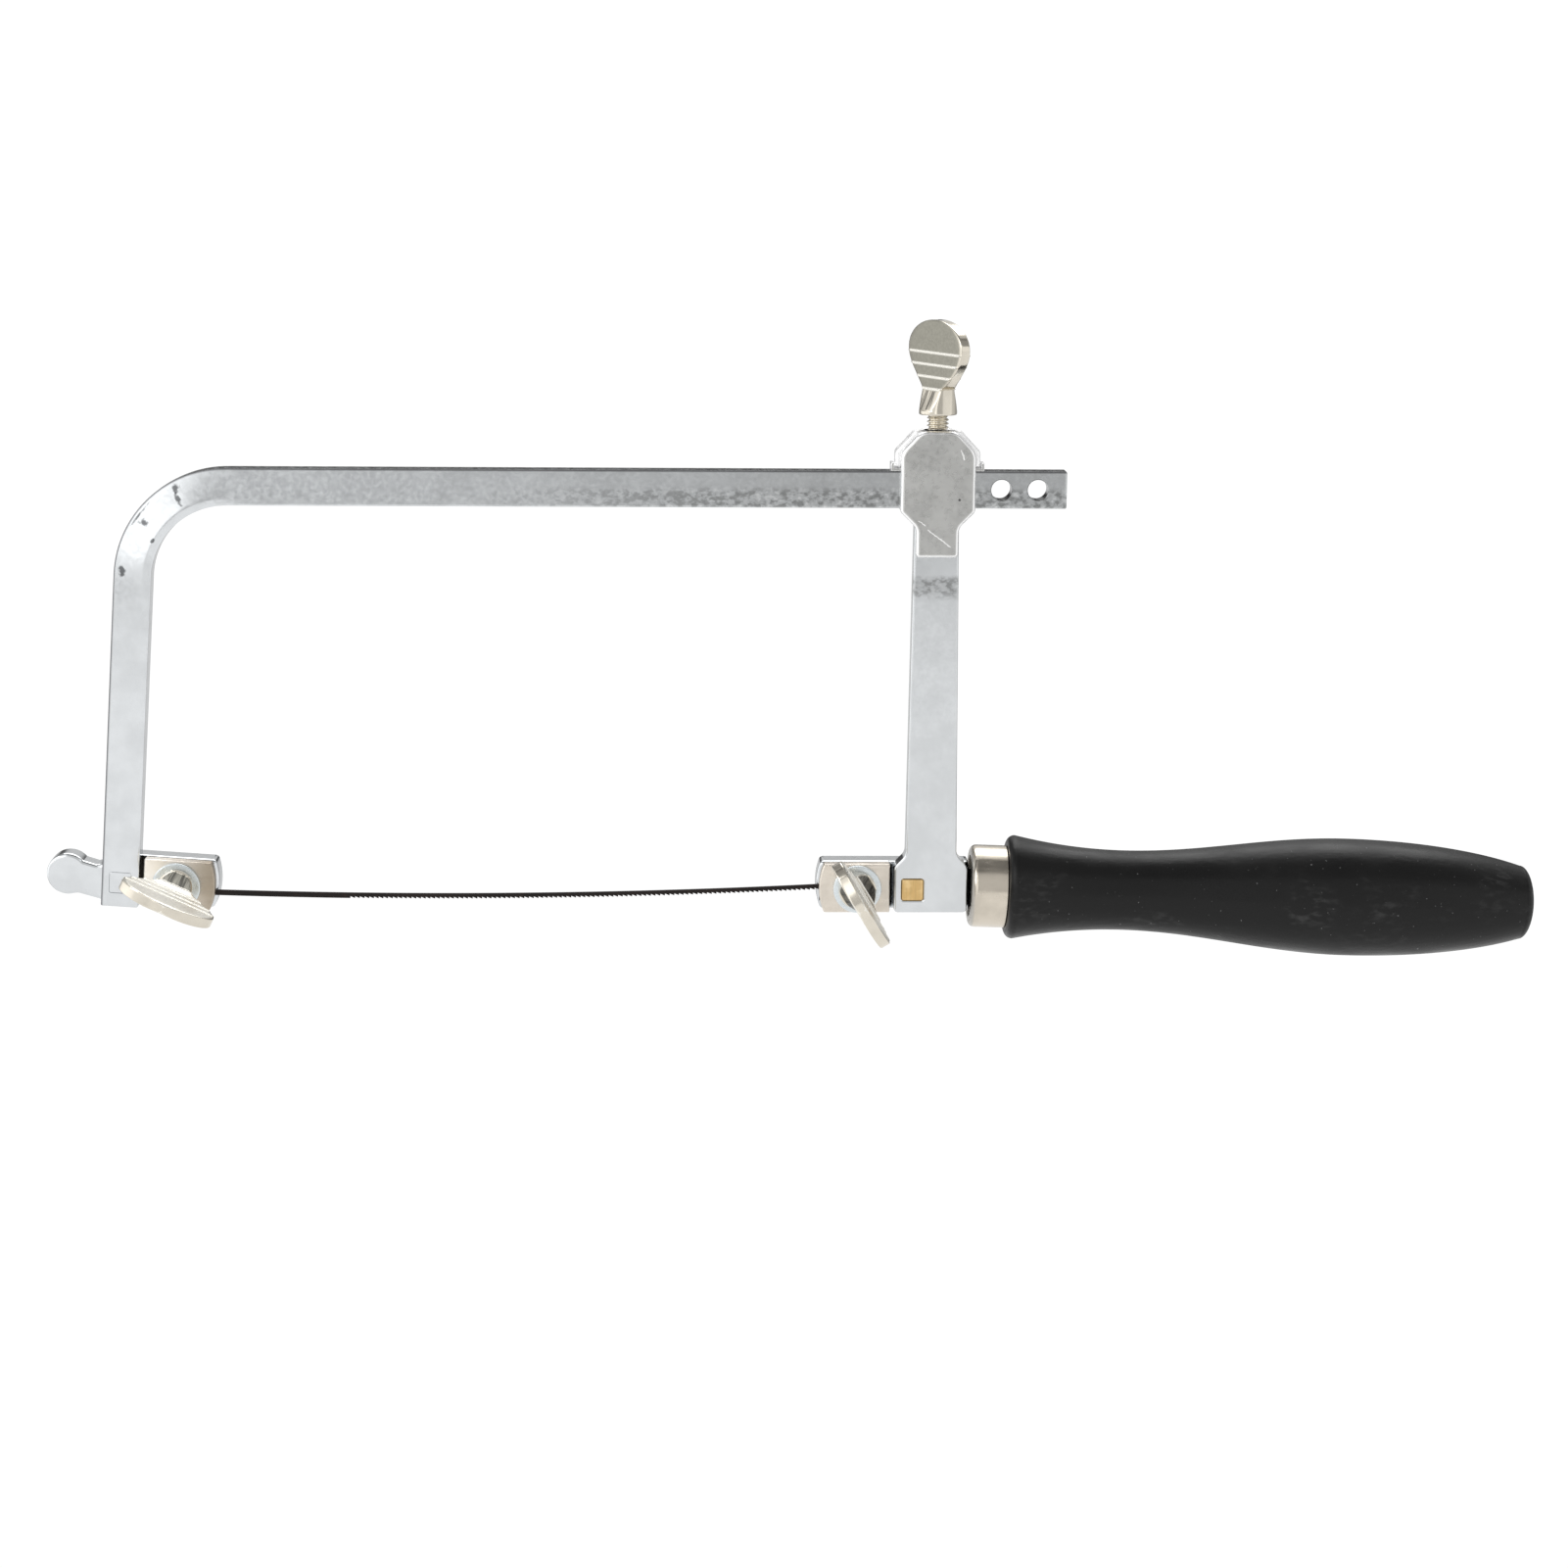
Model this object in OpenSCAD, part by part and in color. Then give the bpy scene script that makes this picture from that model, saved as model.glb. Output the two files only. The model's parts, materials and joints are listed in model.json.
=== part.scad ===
// Adjustable fret saw frame with its blade, in millimetres.
// X runs along the top bar towards the handle, Z is up and the front faces -Y.
// The origin is the centre of the outer hang hole, in the middle of the bar.

/* [Bow] */
// Height of the flat bar
bar_h = 6.8; // [5:0.1:9]
// Thickness of the flat bar, front to back
bar_t = 4; // [3:0.1:6]
// Rounding of the bar's long edges
bar_edge_r = 0.4; // [0.2:0.1:1.2]
// Straight length of the top bar, from the bend to the rear end
bar_len = 153.2; // [148:0.1:200]
// Radius of the bend at the bar's middle line
bend_r = 17.5; // [12:0.5:30]
// Straight length of the front arm below the bend
front_arm_len = 62.3; // [50:0.1:90]
// Outward lean of the front arm, in degrees
front_splay = 4; // [0:0.1:6]
// Bore of the two hang holes
hole_d = 3.8; // [2:0.1:5]
// Distance between the hang holes
hole_pitch = 6.7; // [5:0.1:9]
// From the outer hang hole to the bar's rear end
hole_end = 5.3; // [3:0.1:8]

/* [Jaws] */
// Height of the jaws and clamp plates
jaw_h = 9.2; // [8.5:0.1:14]
// Thickness of the fixed jaws
jaw_t = 5; // [3:0.1:8]
// Thickness of the clamp plates
clamp_t = 2.5; // [1.5:0.1:4]
// From a clamp screw's axis to the clamp plate's straight edge
clamp_in = 6.15; // [5:0.05:8]
// From a clamp screw's axis to the top of the clamp plate's round end
clamp_out = 7.15; // [5:0.05:10]
// Radius of the clamp plates' round ends
jaw_end_r = 12; // [8:0.5:20]
// Overhang of the fixed jaw past the clamp plate's round end
jaw_lip = 0.5; // [0.1:0.1:1.5]
// Gap between a clamp plate and the arm beside it
side_gap = 0.7; // [0.3:0.1:2]
// Drop of the front clamp screw below the middle of its jaw
front_screw_down = 0.2; // [0:0.05:1]
// Side of the square pegs
peg_w = 4; // [3:0.1:5]
// Diameter of the front jaw's round tab
tab_d = 7.8; // [5:0.1:10]
// From the front arm's middle line to the tab's centre
tab_reach = 10.4; // [8:0.1:16]

/* [Thumb screws] */
// Thread diameter of the three thumb screws
screw_d = 4; // [3:0.1:5]
// Diameter of the hub
hub_d = 7; // [6:0.1:9]
// Height of the hub
hub_h = 4.7; // [2:0.1:6]
// Width of the spade head
spade_w = 18; // [12:0.1:20]
// Height of the spade head above the hub
spade_h = 12.5; // [9:0.1:16]
// Thickness of the spade head
spade_t = 2.4; // [1.5:0.1:4]
// Outer diameter of the washers
washer_d = 9; // [8:0.1:10]
// Bore of the washers and clamp plates
washer_bore = 4.3; // [4.2:0.1:5.5]
// Thickness of the washers
washer_t = 0.8; // [0.5:0.1:1.5]
// Turn of the front clamp screw's spade from level, in degrees
front_spade_turn = -25; // [-90:1:90]
// Turn of the rear clamp screw's spade from level, in degrees
rear_spade_turn = -59; // [-90:1:90]
// Turn of the slide screw's spade from the bar, in degrees
slide_spade_turn = -62; // [-90:1:90]

/* [Slide head] */
// Width of the two cheek plates
slide_w = 13.7; // [11:0.1:18]
// Thickness of the cheek plates
plate_t = 2; // [1:0.1:3]
// Top of the cheek plates above the bar's middle
slide_top = 10.85; // [9:0.05:14]
// Width of the flat at the cheek plates' top
slide_flat_w = 6.5; // [5:0.1:10]
// Height of the sloping corners at the top
slide_slope_h = 3.85; // [2:0.05:5]
// Width of the cheek plates' neck
neck_w = 7.8; // [6:0.1:10]
// Foot of the neck below the bar's middle
neck_foot = 12.3; // [10:0.1:20]
// Width of the threaded block between the cheeks
block_w = 15.6; // [13:0.1:20]
// Thickness of the pressure shoe
shoe_t = 0.6; // [0.4:0.1:1]
// Room for the shoe to lift off the bar
shoe_lift = 0.5; // [0.3:0.05:1]
// Thread that shows between the slide screw's hub and the block
slide_thread = 2.75; // [0.5:0.05:6]
// Sliding clearance on each side of the bar
slide_clear = 0.08; // [0.02:0.01:0.15]

/* [Rear arm] */
// From the bar's middle down to the rear jaw's middle
rear_drop = 75.2; // [60:0.1:110]
// Width of the rear arm at its top
arm_w_top = 8.1; // [7:0.1:10]
// Width of the rear arm above its foot
arm_w_foot = 9.5; // [8:0.1:12]
// Width of the foot
foot_w = 13.7; // [12:0.1:18]
// Height of the foot's sloping shoulders
shoulder_h = 2.2; // [1:0.1:3]
// Top of the foot's upright sides above the rear jaw's middle
foot_up = 4.4; // [3:0.1:6]
// Bottom of the foot below the rear jaw's middle
foot_down = 4.4; // [3:0.1:6]

/* [Handle] */
// Droop of the handle below the bar's direction, in degrees
handle_droop = 1.8; // [0:0.1:5]
// From the rear arm's middle line to the ferrule's mouth
ferrule_from = 7.8; // [7.5:0.1:12]
// Outer diameter of the ferrule
ferrule_d = 15.6; // [13:0.1:18]
// Length of the ferrule
ferrule_len = 6.9; // [5:0.1:12]
// Wall of the ferrule
ferrule_wall = 0.9; // [0.5:0.1:1.5]
// Length of the handle behind the ferrule
handle_len = 100.7; // [80:0.1:140]
// Diameter of the handle's front shoulder
shoulder_d = 19.6; // [17:0.1:24]
// Diameter of the handle's waist
waist_d = 15.1; // [12:0.1:18]
// Diameter of the handle's swell
swell_d = 22.2; // [18:0.1:30]
// Diameter of the handle's butt
butt_d = 14; // [10:0.1:17]
// Length of the tang inside the handle
tang_len = 45; // [25:0.5:70]

/* [Blade] */
// Overall length of the blade, which ends at the two clamp screws
blade_len = 122.4; // [118:0.1:126]
// Height of the blade over its teeth
blade_h = 1; // [0.5:0.05:1.5]
// Thickness of the blade
blade_t = 0.5; // [0.2:0.02:0.8]
// Distance from tooth to tooth
tooth_pitch = 0.88; // [0.5:0.01:1.5]
// Depth of the teeth
tooth_h = 0.36; // [0.1:0.02:0.5]
// Plain length at the blade's front end
plain_front = 29.7; // [10:0.1:60]
// Plain length at the blade's rear end
plain_rear = 4.6; // [2:0.1:20]
// Drop of the blade's front end below the front clamp screw's axis
blade_below = 1.6; // [0:0.1:3]
// Sag of the slack blade at mid length
blade_sag = 1.4; // [0:0.1:3]

/* [Hidden] */

$fn = 64;
// Points on each rounded corner or curve of an outline
corner_steps = 8;
egg_steps = 14;
profile_steps = 14;

// Overrun of every cut
over = 1;
// Radial clearance of a screw in its threaded hole
screw_clear = 0.05;
// Corner radius of the square pegs
peg_r = 0.4;
// Gap between each end of the blade and the screw beside it
blade_stop = 0.3;
// How far a clamp screw's end stands out behind its jaw
tip_past = 0.5;
// Chamfer on the screw ends
tip_chamfer = 0.4;

// Swell of the section in the bend, and how far the straight runs start inside it
bend_swell = 0.01;
bend_lap = 0.3;

// Front arm: its own frame hangs from the end of the bend
bend_turn = 90 - front_splay;
bend_x = hole_end - bar_len;
arm_x = bend_x - bend_r * sin(bend_turn);
arm_z = bend_r * cos(bend_turn) - bend_r;

// Middle of the front jaw in the front arm's frame, and the front clamp screw in the saw's frame
front_u = bar_h / 2 + side_gap + clamp_in;
front_v = jaw_h / 2 - front_arm_len;
front_screw_v = front_v - front_screw_down;
front_x = arm_x + front_u * cos(front_splay) + front_screw_v * sin(front_splay);
front_z = arm_z + front_screw_v * cos(front_splay) - front_u * sin(front_splay);

// Blade from its front end, beside the front screw, to its rear end, beside the rear screw
blade_x0 = front_x + screw_d / 2 + blade_stop;
blade_x1 = blade_x0 + blade_len;
blade_z0 = front_z - blade_below;
blade_z1 = -rear_drop;
tooth_count = floor((blade_len - plain_front - plain_rear) / tooth_pitch);

// Rear clamp screw and the slide head, set by the blade
rear_x = blade_x1 + blade_stop + screw_d / 2;
slide_x = rear_x + clamp_in + side_gap + foot_w / 2;

// Front to back
arm_t = bar_t + 2 * slide_clear;
jaw_y = bar_t / 2;
rear_seat_y = arm_t / 2;
jaw_back_y = jaw_y + jaw_t;
clamp_back_y = jaw_y - blade_t;
clamp_front_y = clamp_back_y - clamp_t;
head_y = clamp_front_y - washer_t;
tang_y = (rear_seat_y + jaw_back_y) / 2;
clamp_shank = jaw_back_y - head_y + tip_past;

// Slide head
shoe_top = bar_h / 2 + shoe_t;
block_foot = shoe_top + shoe_lift;
slide_hub = slide_top + slide_thread;
side_foot = bar_h / 2;
cheek_r = 1.2;
neck_r = 2.2;
neck_corner_r = 0.8;
slope_run = (slide_w - neck_w) / 2 - (cheek_r + neck_r) * (1 - cos(45));
neck_top = side_foot + (cheek_r + neck_r) * sin(45) + slope_run;
shoe_lip_h = 0.9;
shoe_gap = 0.15;
shoe_half = block_w / 2 + shoe_gap;

// Rear arm
arm_top = -bar_h / 2 - slide_clear;
foot_corner_r = 0.8;
peg_x = 3.4;

// Front jaw's tab
tab_neck_u = 5.2;
tab_neck_v = 2.1;
tab_neck_angle = 55;
tab_root_v = 2.6;
tab_slope = 72;
tab_root_share = 0.9;

// Thumb screw's head: the round rim, the widest place of the spade and the flats' flare
hub_rim = 0.8;
flare_top = 8.5;
spade_mid_share = 0.58;
spade_foot_share = 0.9;
flare_foot_share = 0.96;

// Ferrule and handle, along the handle's axis
ferrule_lip = 1;
ferrule_round = 1.1;
ferrule_mouth_d = 11.6;
handle_from = ferrule_from + ferrule_len;
spigot_clear = 0.05;
tang_clear = 0.1;
tang_drop = 0.45;
tang_step = 0.2;
tang_h = 7.4;
tang_tip_h = 3.2;
shoulder_round = 1.5;
butt_round = 2.4;
waist_share = 0.22;
swell_share = 0.645;
swell_steps = 18;

// Points on an arc about centre c, from angle a0 to a1
function arc(c, r, a0, a1, n) =
    [for (i = [0:n]) c + r * [cos(a0 + (a1 - a0) * i / n), sin(a0 + (a1 - a0) * i / n)]];

// The same outline points mirrored, in reverse order
function mirrored(points) =
    [for (i = [len(points) - 1:-1:0]) [-points[i][0], points[i][1]]];

// Stands an outline drawn in X and Z upright, from y0 to y0 + t
module upright(y0, t) {
    translate([0, y0 + t, 0]) rotate([90, 0, 0]) linear_extrude(t) children();
}

// A bore along Y through everything between y0 and y1
module bore_y(d, y0, y1) {
    translate([0, y1 + over, 0]) rotate([90, 0, 0]) cylinder(d = d, h = y1 - y0 + 2 * over);
}

// A rectangle about the origin with round corners
module rounded(w, h, r) {
    square([w - 2 * r, h], center = true);
    square([w, h - 2 * r], center = true);
    for (x = [-1, 1], y = [-1, 1])
        translate([x * (w / 2 - r), y * (h / 2 - r)]) circle(r);
}

// Frames of the pieces
module at_front_arm() { translate([arm_x, 0, arm_z]) rotate([0, front_splay, 0]) children(); }
module at_front_jaw() { at_front_arm() translate([0, 0, front_v]) children(); }
module at_front_screw() { at_front_jaw() translate([front_u, 0, -front_screw_down]) children(); }
module at_slide() { translate([slide_x, 0, 0]) children(); }
module at_rear_jaw() { translate([slide_x, 0, -rear_drop]) children(); }
module at_rear_screw() { translate([rear_x, 0, -rear_drop]) mirror([1, 0, 0]) children(); }
module at_handle() {
    at_rear_jaw() translate([0, tang_y, -tang_drop]) rotate([0, handle_droop, 0]) children();
}

// Bow: the bar's section is turned about the bend's centre and runs on straight at both ends.
// Bending swells the section by a hair, so the straight runs start inside the bend.
module at_bend() { translate([bend_x, 0, -bend_r]) rotate([90, 0, 0]) children(); }

module bar_section(swell) {
    translate([bend_r, 0]) rounded(bar_h + 2 * swell, bar_t + 2 * swell, bar_edge_r);
}

module straight_bar(run) { translate([0, 0, -bend_lap]) linear_extrude(run + bend_lap) bar_section(0); }

module bow_bar() {
    color("gainsboro") difference() {
        union() {
            at_bend() rotate([0, 0, 90]) rotate_extrude(angle = bend_turn) bar_section(bend_swell);
            at_bend() rotate([0, 0, 90]) rotate([90, 0, 0]) straight_bar(bar_len);
            at_bend() rotate([0, 0, 90 + bend_turn]) rotate([-90, 0, 0]) straight_bar(front_arm_len);
        }
        for (x = [0, -hole_pitch])
            translate([x, 0, 0]) bore_y(hole_d, -bar_t / 2, bar_t / 2);
        at_front_jaw() upright(-bar_t / 2 - over, bar_t + 2 * over) rounded(peg_w, peg_w, peg_r);
    }
}

// Jaw outline about its screw's axis, with a straight inner edge and a round outer end
module jaw_outline(inner, outer, end_r) {
    intersection() {
        translate([-inner, -jaw_h / 2]) square([inner + outer, jaw_h]);
        translate([outer - end_r, 0]) circle(end_r, $fn = 96);
    }
}

// A jaw's straight run from the arm, squared off so that only its outer end is round
module fixed_jaw_outline(inner) {
    jaw_outline(clamp_in, clamp_out + jaw_lip, jaw_end_r + jaw_lip);
    translate([-inner, -jaw_h / 2]) square([inner, jaw_h]);
}

// Round tab at the front jaw's far end, with a waisted neck back to the jaw
module tab_outline() {
    root = tab_root_share * tab_d / 2;
    translate([-tab_reach, 0]) circle(d = tab_d);
    polygon([[-tab_reach, 0],
             [root * cos(tab_slope) - tab_reach, -root * sin(tab_slope)],
             [-bar_h / 2, -jaw_h / 2],
             [0, -jaw_h / 2],
             [0, tab_root_v],
             [-bar_h / 2, tab_root_v],
             [-tab_neck_u, tab_neck_v],
             [root * cos(tab_neck_angle) - tab_reach, root * sin(tab_neck_angle)]]);
}

module front_jaw() {
    color("gainsboro") difference() {
        at_front_jaw() upright(jaw_y, jaw_t) {
            tab_outline();
            translate([front_u, 0]) fixed_jaw_outline(front_u + bar_h / 2);
        }
        at_front_screw() bore_y(screw_d + 2 * screw_clear, jaw_y, jaw_back_y);
        at_front_jaw() upright(jaw_y - over, jaw_t + 2 * over) rounded(peg_w, peg_w, peg_r);
    }
}

module front_jaw_peg() {
    color("gainsboro") at_front_jaw() upright(-bar_t / 2, bar_t + jaw_t) rounded(peg_w, peg_w, peg_r);
}

// Loose clamp plate and washer, drawn about the screw's axis, which may sit below the plate's middle
module clamp_plate(screw_down) {
    difference() {
        upright(clamp_front_y, clamp_t)
            translate([0, screw_down]) jaw_outline(clamp_in, clamp_out, jaw_end_r);
        bore_y(washer_bore, clamp_front_y, clamp_back_y);
    }
}

module washer() {
    difference() {
        translate([0, clamp_front_y, 0]) rotate([90, 0, 0]) cylinder(d = washer_d, h = washer_t);
        bore_y(washer_bore, head_y, clamp_front_y);
    }
}

module front_clamp_plate() { color("tan") at_front_screw() clamp_plate(front_screw_down); }
module front_washer() { color("lightsteelblue") at_front_screw() washer(); }

// Egg-shaped outline of the spade: an oval tip, and sides that draw in to the hub
function spade_outline() =
    let (mid = hub_h + spade_mid_share * spade_h,
         tip = spade_h * (1 - spade_mid_share),
         half = spade_w / 2,
         foot = spade_foot_share * hub_d / 2,
         crown = [for (i = [1:egg_steps]) let (a = 90 - 90 * i / egg_steps)
                  [half * cos(a), mid + tip * sin(a)]],
         waist = [for (i = [1:egg_steps]) let (s = i / egg_steps)
                  [foot + (half - foot) * cos(90 * s), mid - s * (mid - hub_h)]],
         side = concat(crown, waist, [[foot, hub_h / 2]]))
    concat([[0, mid + tip]], side, mirrored(side));

// Side view of the head: the flats curve out to the hub's rim
function flare_outline() =
    let (half = spade_t / 2,
         foot = flare_foot_share * hub_d / 2,
         flare = [for (i = [0:corner_steps]) let (s = i / corner_steps)
                  [half + (foot - half) * pow(1 - s, 2), hub_rim + s * (flare_top - hub_rim)]],
         side = concat([[foot, hub_rim / 2]], flare, [[half, hub_h + spade_h + over]]))
    concat(side, mirrored(side));

// Spade-headed thumb screw: the hub's seat is at the origin, the head points along +Z
module thumb_screw(shank) {
    cylinder(d = hub_d, h = hub_rim);
    translate([0, 0, -shank + tip_chamfer]) cylinder(d = screw_d, h = shank - tip_chamfer);
    translate([0, 0, -shank])
        cylinder(d1 = screw_d - 2 * tip_chamfer, d2 = screw_d, h = tip_chamfer);
    intersection() {
        union() {
            cylinder(d = hub_d, h = hub_h);
            upright(-hub_d / 2, hub_d) polygon(spade_outline());
        }
        rotate([0, 0, 90]) upright(-spade_w, 2 * spade_w) polygon(flare_outline());
    }
}

module front_clamp_screw() {
    color("wheat") translate([front_x, head_y, front_z]) rotate([90, 0, 0])
        rotate([0, 0, front_spade_turn]) thumb_screw(clamp_shank);
}

// Rear arm
function rear_arm_outline() =
    let (corner = [foot_w / 2 - foot_corner_r, foot_corner_r - rear_drop - foot_down],
         side = concat([[arm_w_top / 2, arm_top],
                        [arm_w_foot / 2, foot_up + shoulder_h - rear_drop],
                        [foot_w / 2, foot_up - rear_drop]],
                       arc(corner, foot_corner_r, 0, -90, corner_steps)))
    concat(side, mirrored(side));

module rear_arm() {
    color("gainsboro") at_slide() difference() {
        upright(-arm_t / 2, arm_t) polygon(rear_arm_outline());
        translate([-peg_x, 0, -rear_drop]) upright(-arm_t / 2 - over, arm_t + 2 * over)
            rounded(peg_w, peg_w, peg_r);
    }
}

// Slide head
function cheek_outline() =
    let (foot = [neck_w / 2 - neck_corner_r, neck_corner_r - neck_foot],
         side = concat([[slide_flat_w / 2, slide_top],
                        [slide_w / 2, slide_top - slide_slope_h]],
                       arc([slide_w / 2 - cheek_r, -side_foot], cheek_r, 0, -45, corner_steps),
                       arc([neck_w / 2 + neck_r, -neck_top], neck_r, 135, 180, corner_steps),
                       arc(foot, neck_corner_r, 0, -90, corner_steps)))
    concat(side, mirrored(side));

module slide_front_plate() {
    color("darkgray") at_slide() upright(-arm_t / 2 - plate_t, plate_t) polygon(cheek_outline());
}

module slide_back_plate() {
    color("darkgray") at_slide() upright(arm_t / 2, plate_t) polygon(cheek_outline());
}

function block_outline() =
    let (side = [[slide_flat_w / 2 + (block_w - slide_w) / 2, slide_top],
                 [block_w / 2, slide_top - slide_slope_h],
                 [block_w / 2, block_foot]])
    concat(side, mirrored(side));

module slide_block() {
    color("silver") at_slide() difference() {
        upright(-arm_t / 2, arm_t) polygon(block_outline());
        translate([0, 0, block_foot - over])
            cylinder(d = screw_d + 2 * screw_clear, h = slide_top - block_foot + 2 * over);
    }
}

// Pressure shoe on the bar, with a lip at each end that keeps it under the block
function shoe_outline() =
    let (side = [[shoe_half, shoe_top],
                 [shoe_half, shoe_top + shoe_lip_h],
                 [shoe_half + shoe_t, shoe_top + shoe_lip_h],
                 [shoe_half + shoe_t, bar_h / 2]])
    concat(side, mirrored(side));

module slide_shoe() {
    color("dimgray") at_slide() upright(slide_clear - arm_t / 2, arm_t - 2 * slide_clear)
        polygon(shoe_outline());
}

module slide_screw() {
    color("wheat") at_slide() translate([0, 0, slide_hub]) rotate([0, 0, slide_spade_turn])
        thumb_screw(slide_hub - shoe_top);
}

// Tang outline along the handle's axis, tapering to its tip; the tang is drawn a step thinner than the jaw
module tang_outline(room) {
    foot = handle_from + tang_len + room;
    polygon([[0, tang_h / 2 + room], [handle_from, tang_h / 2 + room], [foot, tang_tip_h / 2 + room],
             [foot, -tang_tip_h / 2 - room], [handle_from, -tang_h / 2 - room], [0, -tang_h / 2 - room]]);
}

module tang(room) {
    tang_t = jaw_back_y - rear_seat_y - 2 * tang_step + 2 * room;
    at_handle() upright(-tang_t / 2, tang_t) tang_outline(room);
}

module rear_jaw() {
    color("gainsboro") difference() {
        union() {
            at_rear_jaw() upright(rear_seat_y, jaw_back_y - rear_seat_y)
                translate([-foot_w / 2, -jaw_h / 2]) square([foot_w + jaw_lip, jaw_h]);
            at_rear_screw() upright(jaw_y, jaw_t) fixed_jaw_outline(clamp_in + side_gap / 2);
            at_rear_screw() upright(rear_seat_y, jaw_back_y - rear_seat_y)
                fixed_jaw_outline(clamp_in + side_gap);
            tang(0);
        }
        at_rear_screw() bore_y(screw_d + 2 * screw_clear, jaw_y, jaw_back_y);
        at_rear_jaw() translate([-peg_x, 0, 0]) upright(rear_seat_y - over, jaw_t + 2 * over)
            rounded(peg_w, peg_w, peg_r);
    }
}

module rear_jaw_peg() {
    color("goldenrod") at_rear_jaw() translate([-peg_x, 0, 0])
        upright(-arm_t / 2, jaw_back_y + arm_t / 2) rounded(peg_w, peg_w, peg_r);
}

module rear_clamp_plate() { color("tan") at_rear_screw() clamp_plate(0); }
module rear_washer() { color("lightsteelblue") at_rear_screw() washer(); }

module rear_clamp_screw() {
    color("wheat") translate([rear_x, head_y, -rear_drop]) rotate([90, 0, 0])
        rotate([0, 0, rear_spade_turn]) thumb_screw(clamp_shank);
}

// Handle: profiles are drawn as radius against distance, then turned about the handle's axis
module turned() { at_handle() rotate([0, 90, 0]) rotate_extrude() children(); }

module ferrule() {
    inner = ferrule_d / 2 - ferrule_wall;
    round_at = [ferrule_d / 2 - ferrule_round, ferrule_from + ferrule_round];
    color("wheat") turned() polygon(concat(
        [[inner, handle_from], [inner, ferrule_from + ferrule_lip],
         [ferrule_mouth_d / 2, ferrule_from + ferrule_lip], [ferrule_mouth_d / 2, ferrule_from]],
        arc(round_at, ferrule_round, -90, 0, corner_steps),
        [[ferrule_d / 2, handle_from]]));
}

// Cove from the shoulder to the waist, a wave up to the swell, and an oval fall to the butt
function handle_profile() =
    let (waist_at = waist_share * handle_len,
         swell_at = swell_share * handle_len,
         butt_at = handle_len - butt_round,
         cove = [for (i = [1:profile_steps]) let (t = i / profile_steps)
                 [waist_d / 2 + (shoulder_d - waist_d) / 2 * pow(1 - t, 2),
                  shoulder_round + t * (waist_at - shoulder_round)]],
         wave = [for (i = [1:swell_steps]) let (t = i / swell_steps)
                 [waist_d / 2 + (swell_d - waist_d) / 4 * (1 - cos(180 * t)),
                  waist_at + t * (swell_at - waist_at)]],
         full = acos(butt_d / swell_d),
         fall = [for (i = [1:profile_steps]) let (a = full * i / profile_steps)
                 [swell_d / 2 * cos(a), swell_at + (butt_at - swell_at) * sin(a) / sin(full)]],
         dome = [for (i = [1:corner_steps]) let (a = 90 * i / corner_steps)
                 [butt_d / 2 * cos(a), butt_at + butt_round * sin(a)]])
    concat(arc([shoulder_d / 2 - shoulder_round, shoulder_round], shoulder_round, -90, 0, corner_steps),
           cove, wave, fall, dome);

module handle() {
    spigot = ferrule_d / 2 - ferrule_wall - spigot_clear;
    color("#202020") difference() {
        turned() polygon(concat(
            [[0, ferrule_from + ferrule_lip], [spigot, ferrule_from + ferrule_lip], [spigot, handle_from]],
            [for (p = handle_profile()) [max(p[0], 0), p[1] + handle_from]]));
        tang(tang_clear);
    }
}

// Blade: a slack curve from jaw to jaw
function blade_mid(s) =
    let (t = s / blade_len) blade_z0 + t * (blade_z1 - blade_z0) - 4 * blade_sag * t * (1 - t);

// Each tooth rises along its back and drops at its cutting face, which looks at the handle
function tooth_points(i) =
    let (s = plain_front + i * tooth_pitch)
    [[s, -blade_h / 2 + tooth_h], [s + tooth_pitch, -blade_h / 2]];

function blade_outline() =
    let (teeth = [for (i = [0:tooth_count - 1]) each tooth_points(i)],
         tail = plain_front + tooth_count * tooth_pitch,
         under = concat([for (i = [0:profile_steps]) [plain_front * i / profile_steps, -blade_h / 2]],
                        teeth, [[tail, -blade_h / 2 + tooth_h], [blade_len, -blade_h / 2 + tooth_h]]),
         top = [for (i = [4 * profile_steps:-1:0]) [blade_len * i / (4 * profile_steps), blade_h / 2]])
    [for (p = concat(under, top)) [blade_x0 + p[0], p[1] + blade_mid(p[0])]];

module blade() { color("#2a1e18") upright(clamp_back_y, blade_t) polygon(blade_outline()); }

bow_bar();
front_jaw();
front_jaw_peg();
front_clamp_plate();
front_washer();
front_clamp_screw();
rear_arm();
slide_front_plate();
slide_back_plate();
slide_block();
slide_shoe();
slide_screw();
rear_jaw();
rear_jaw_peg();
rear_clamp_plate();
rear_washer();
rear_clamp_screw();
ferrule();
handle();
blade();
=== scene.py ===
"""Adjustable fret saw: the looks of its pieces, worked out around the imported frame."""

import json
import math
from contextlib import contextmanager

import bmesh
import bpy
import numpy as np
from mathutils import Matrix, Vector


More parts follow.
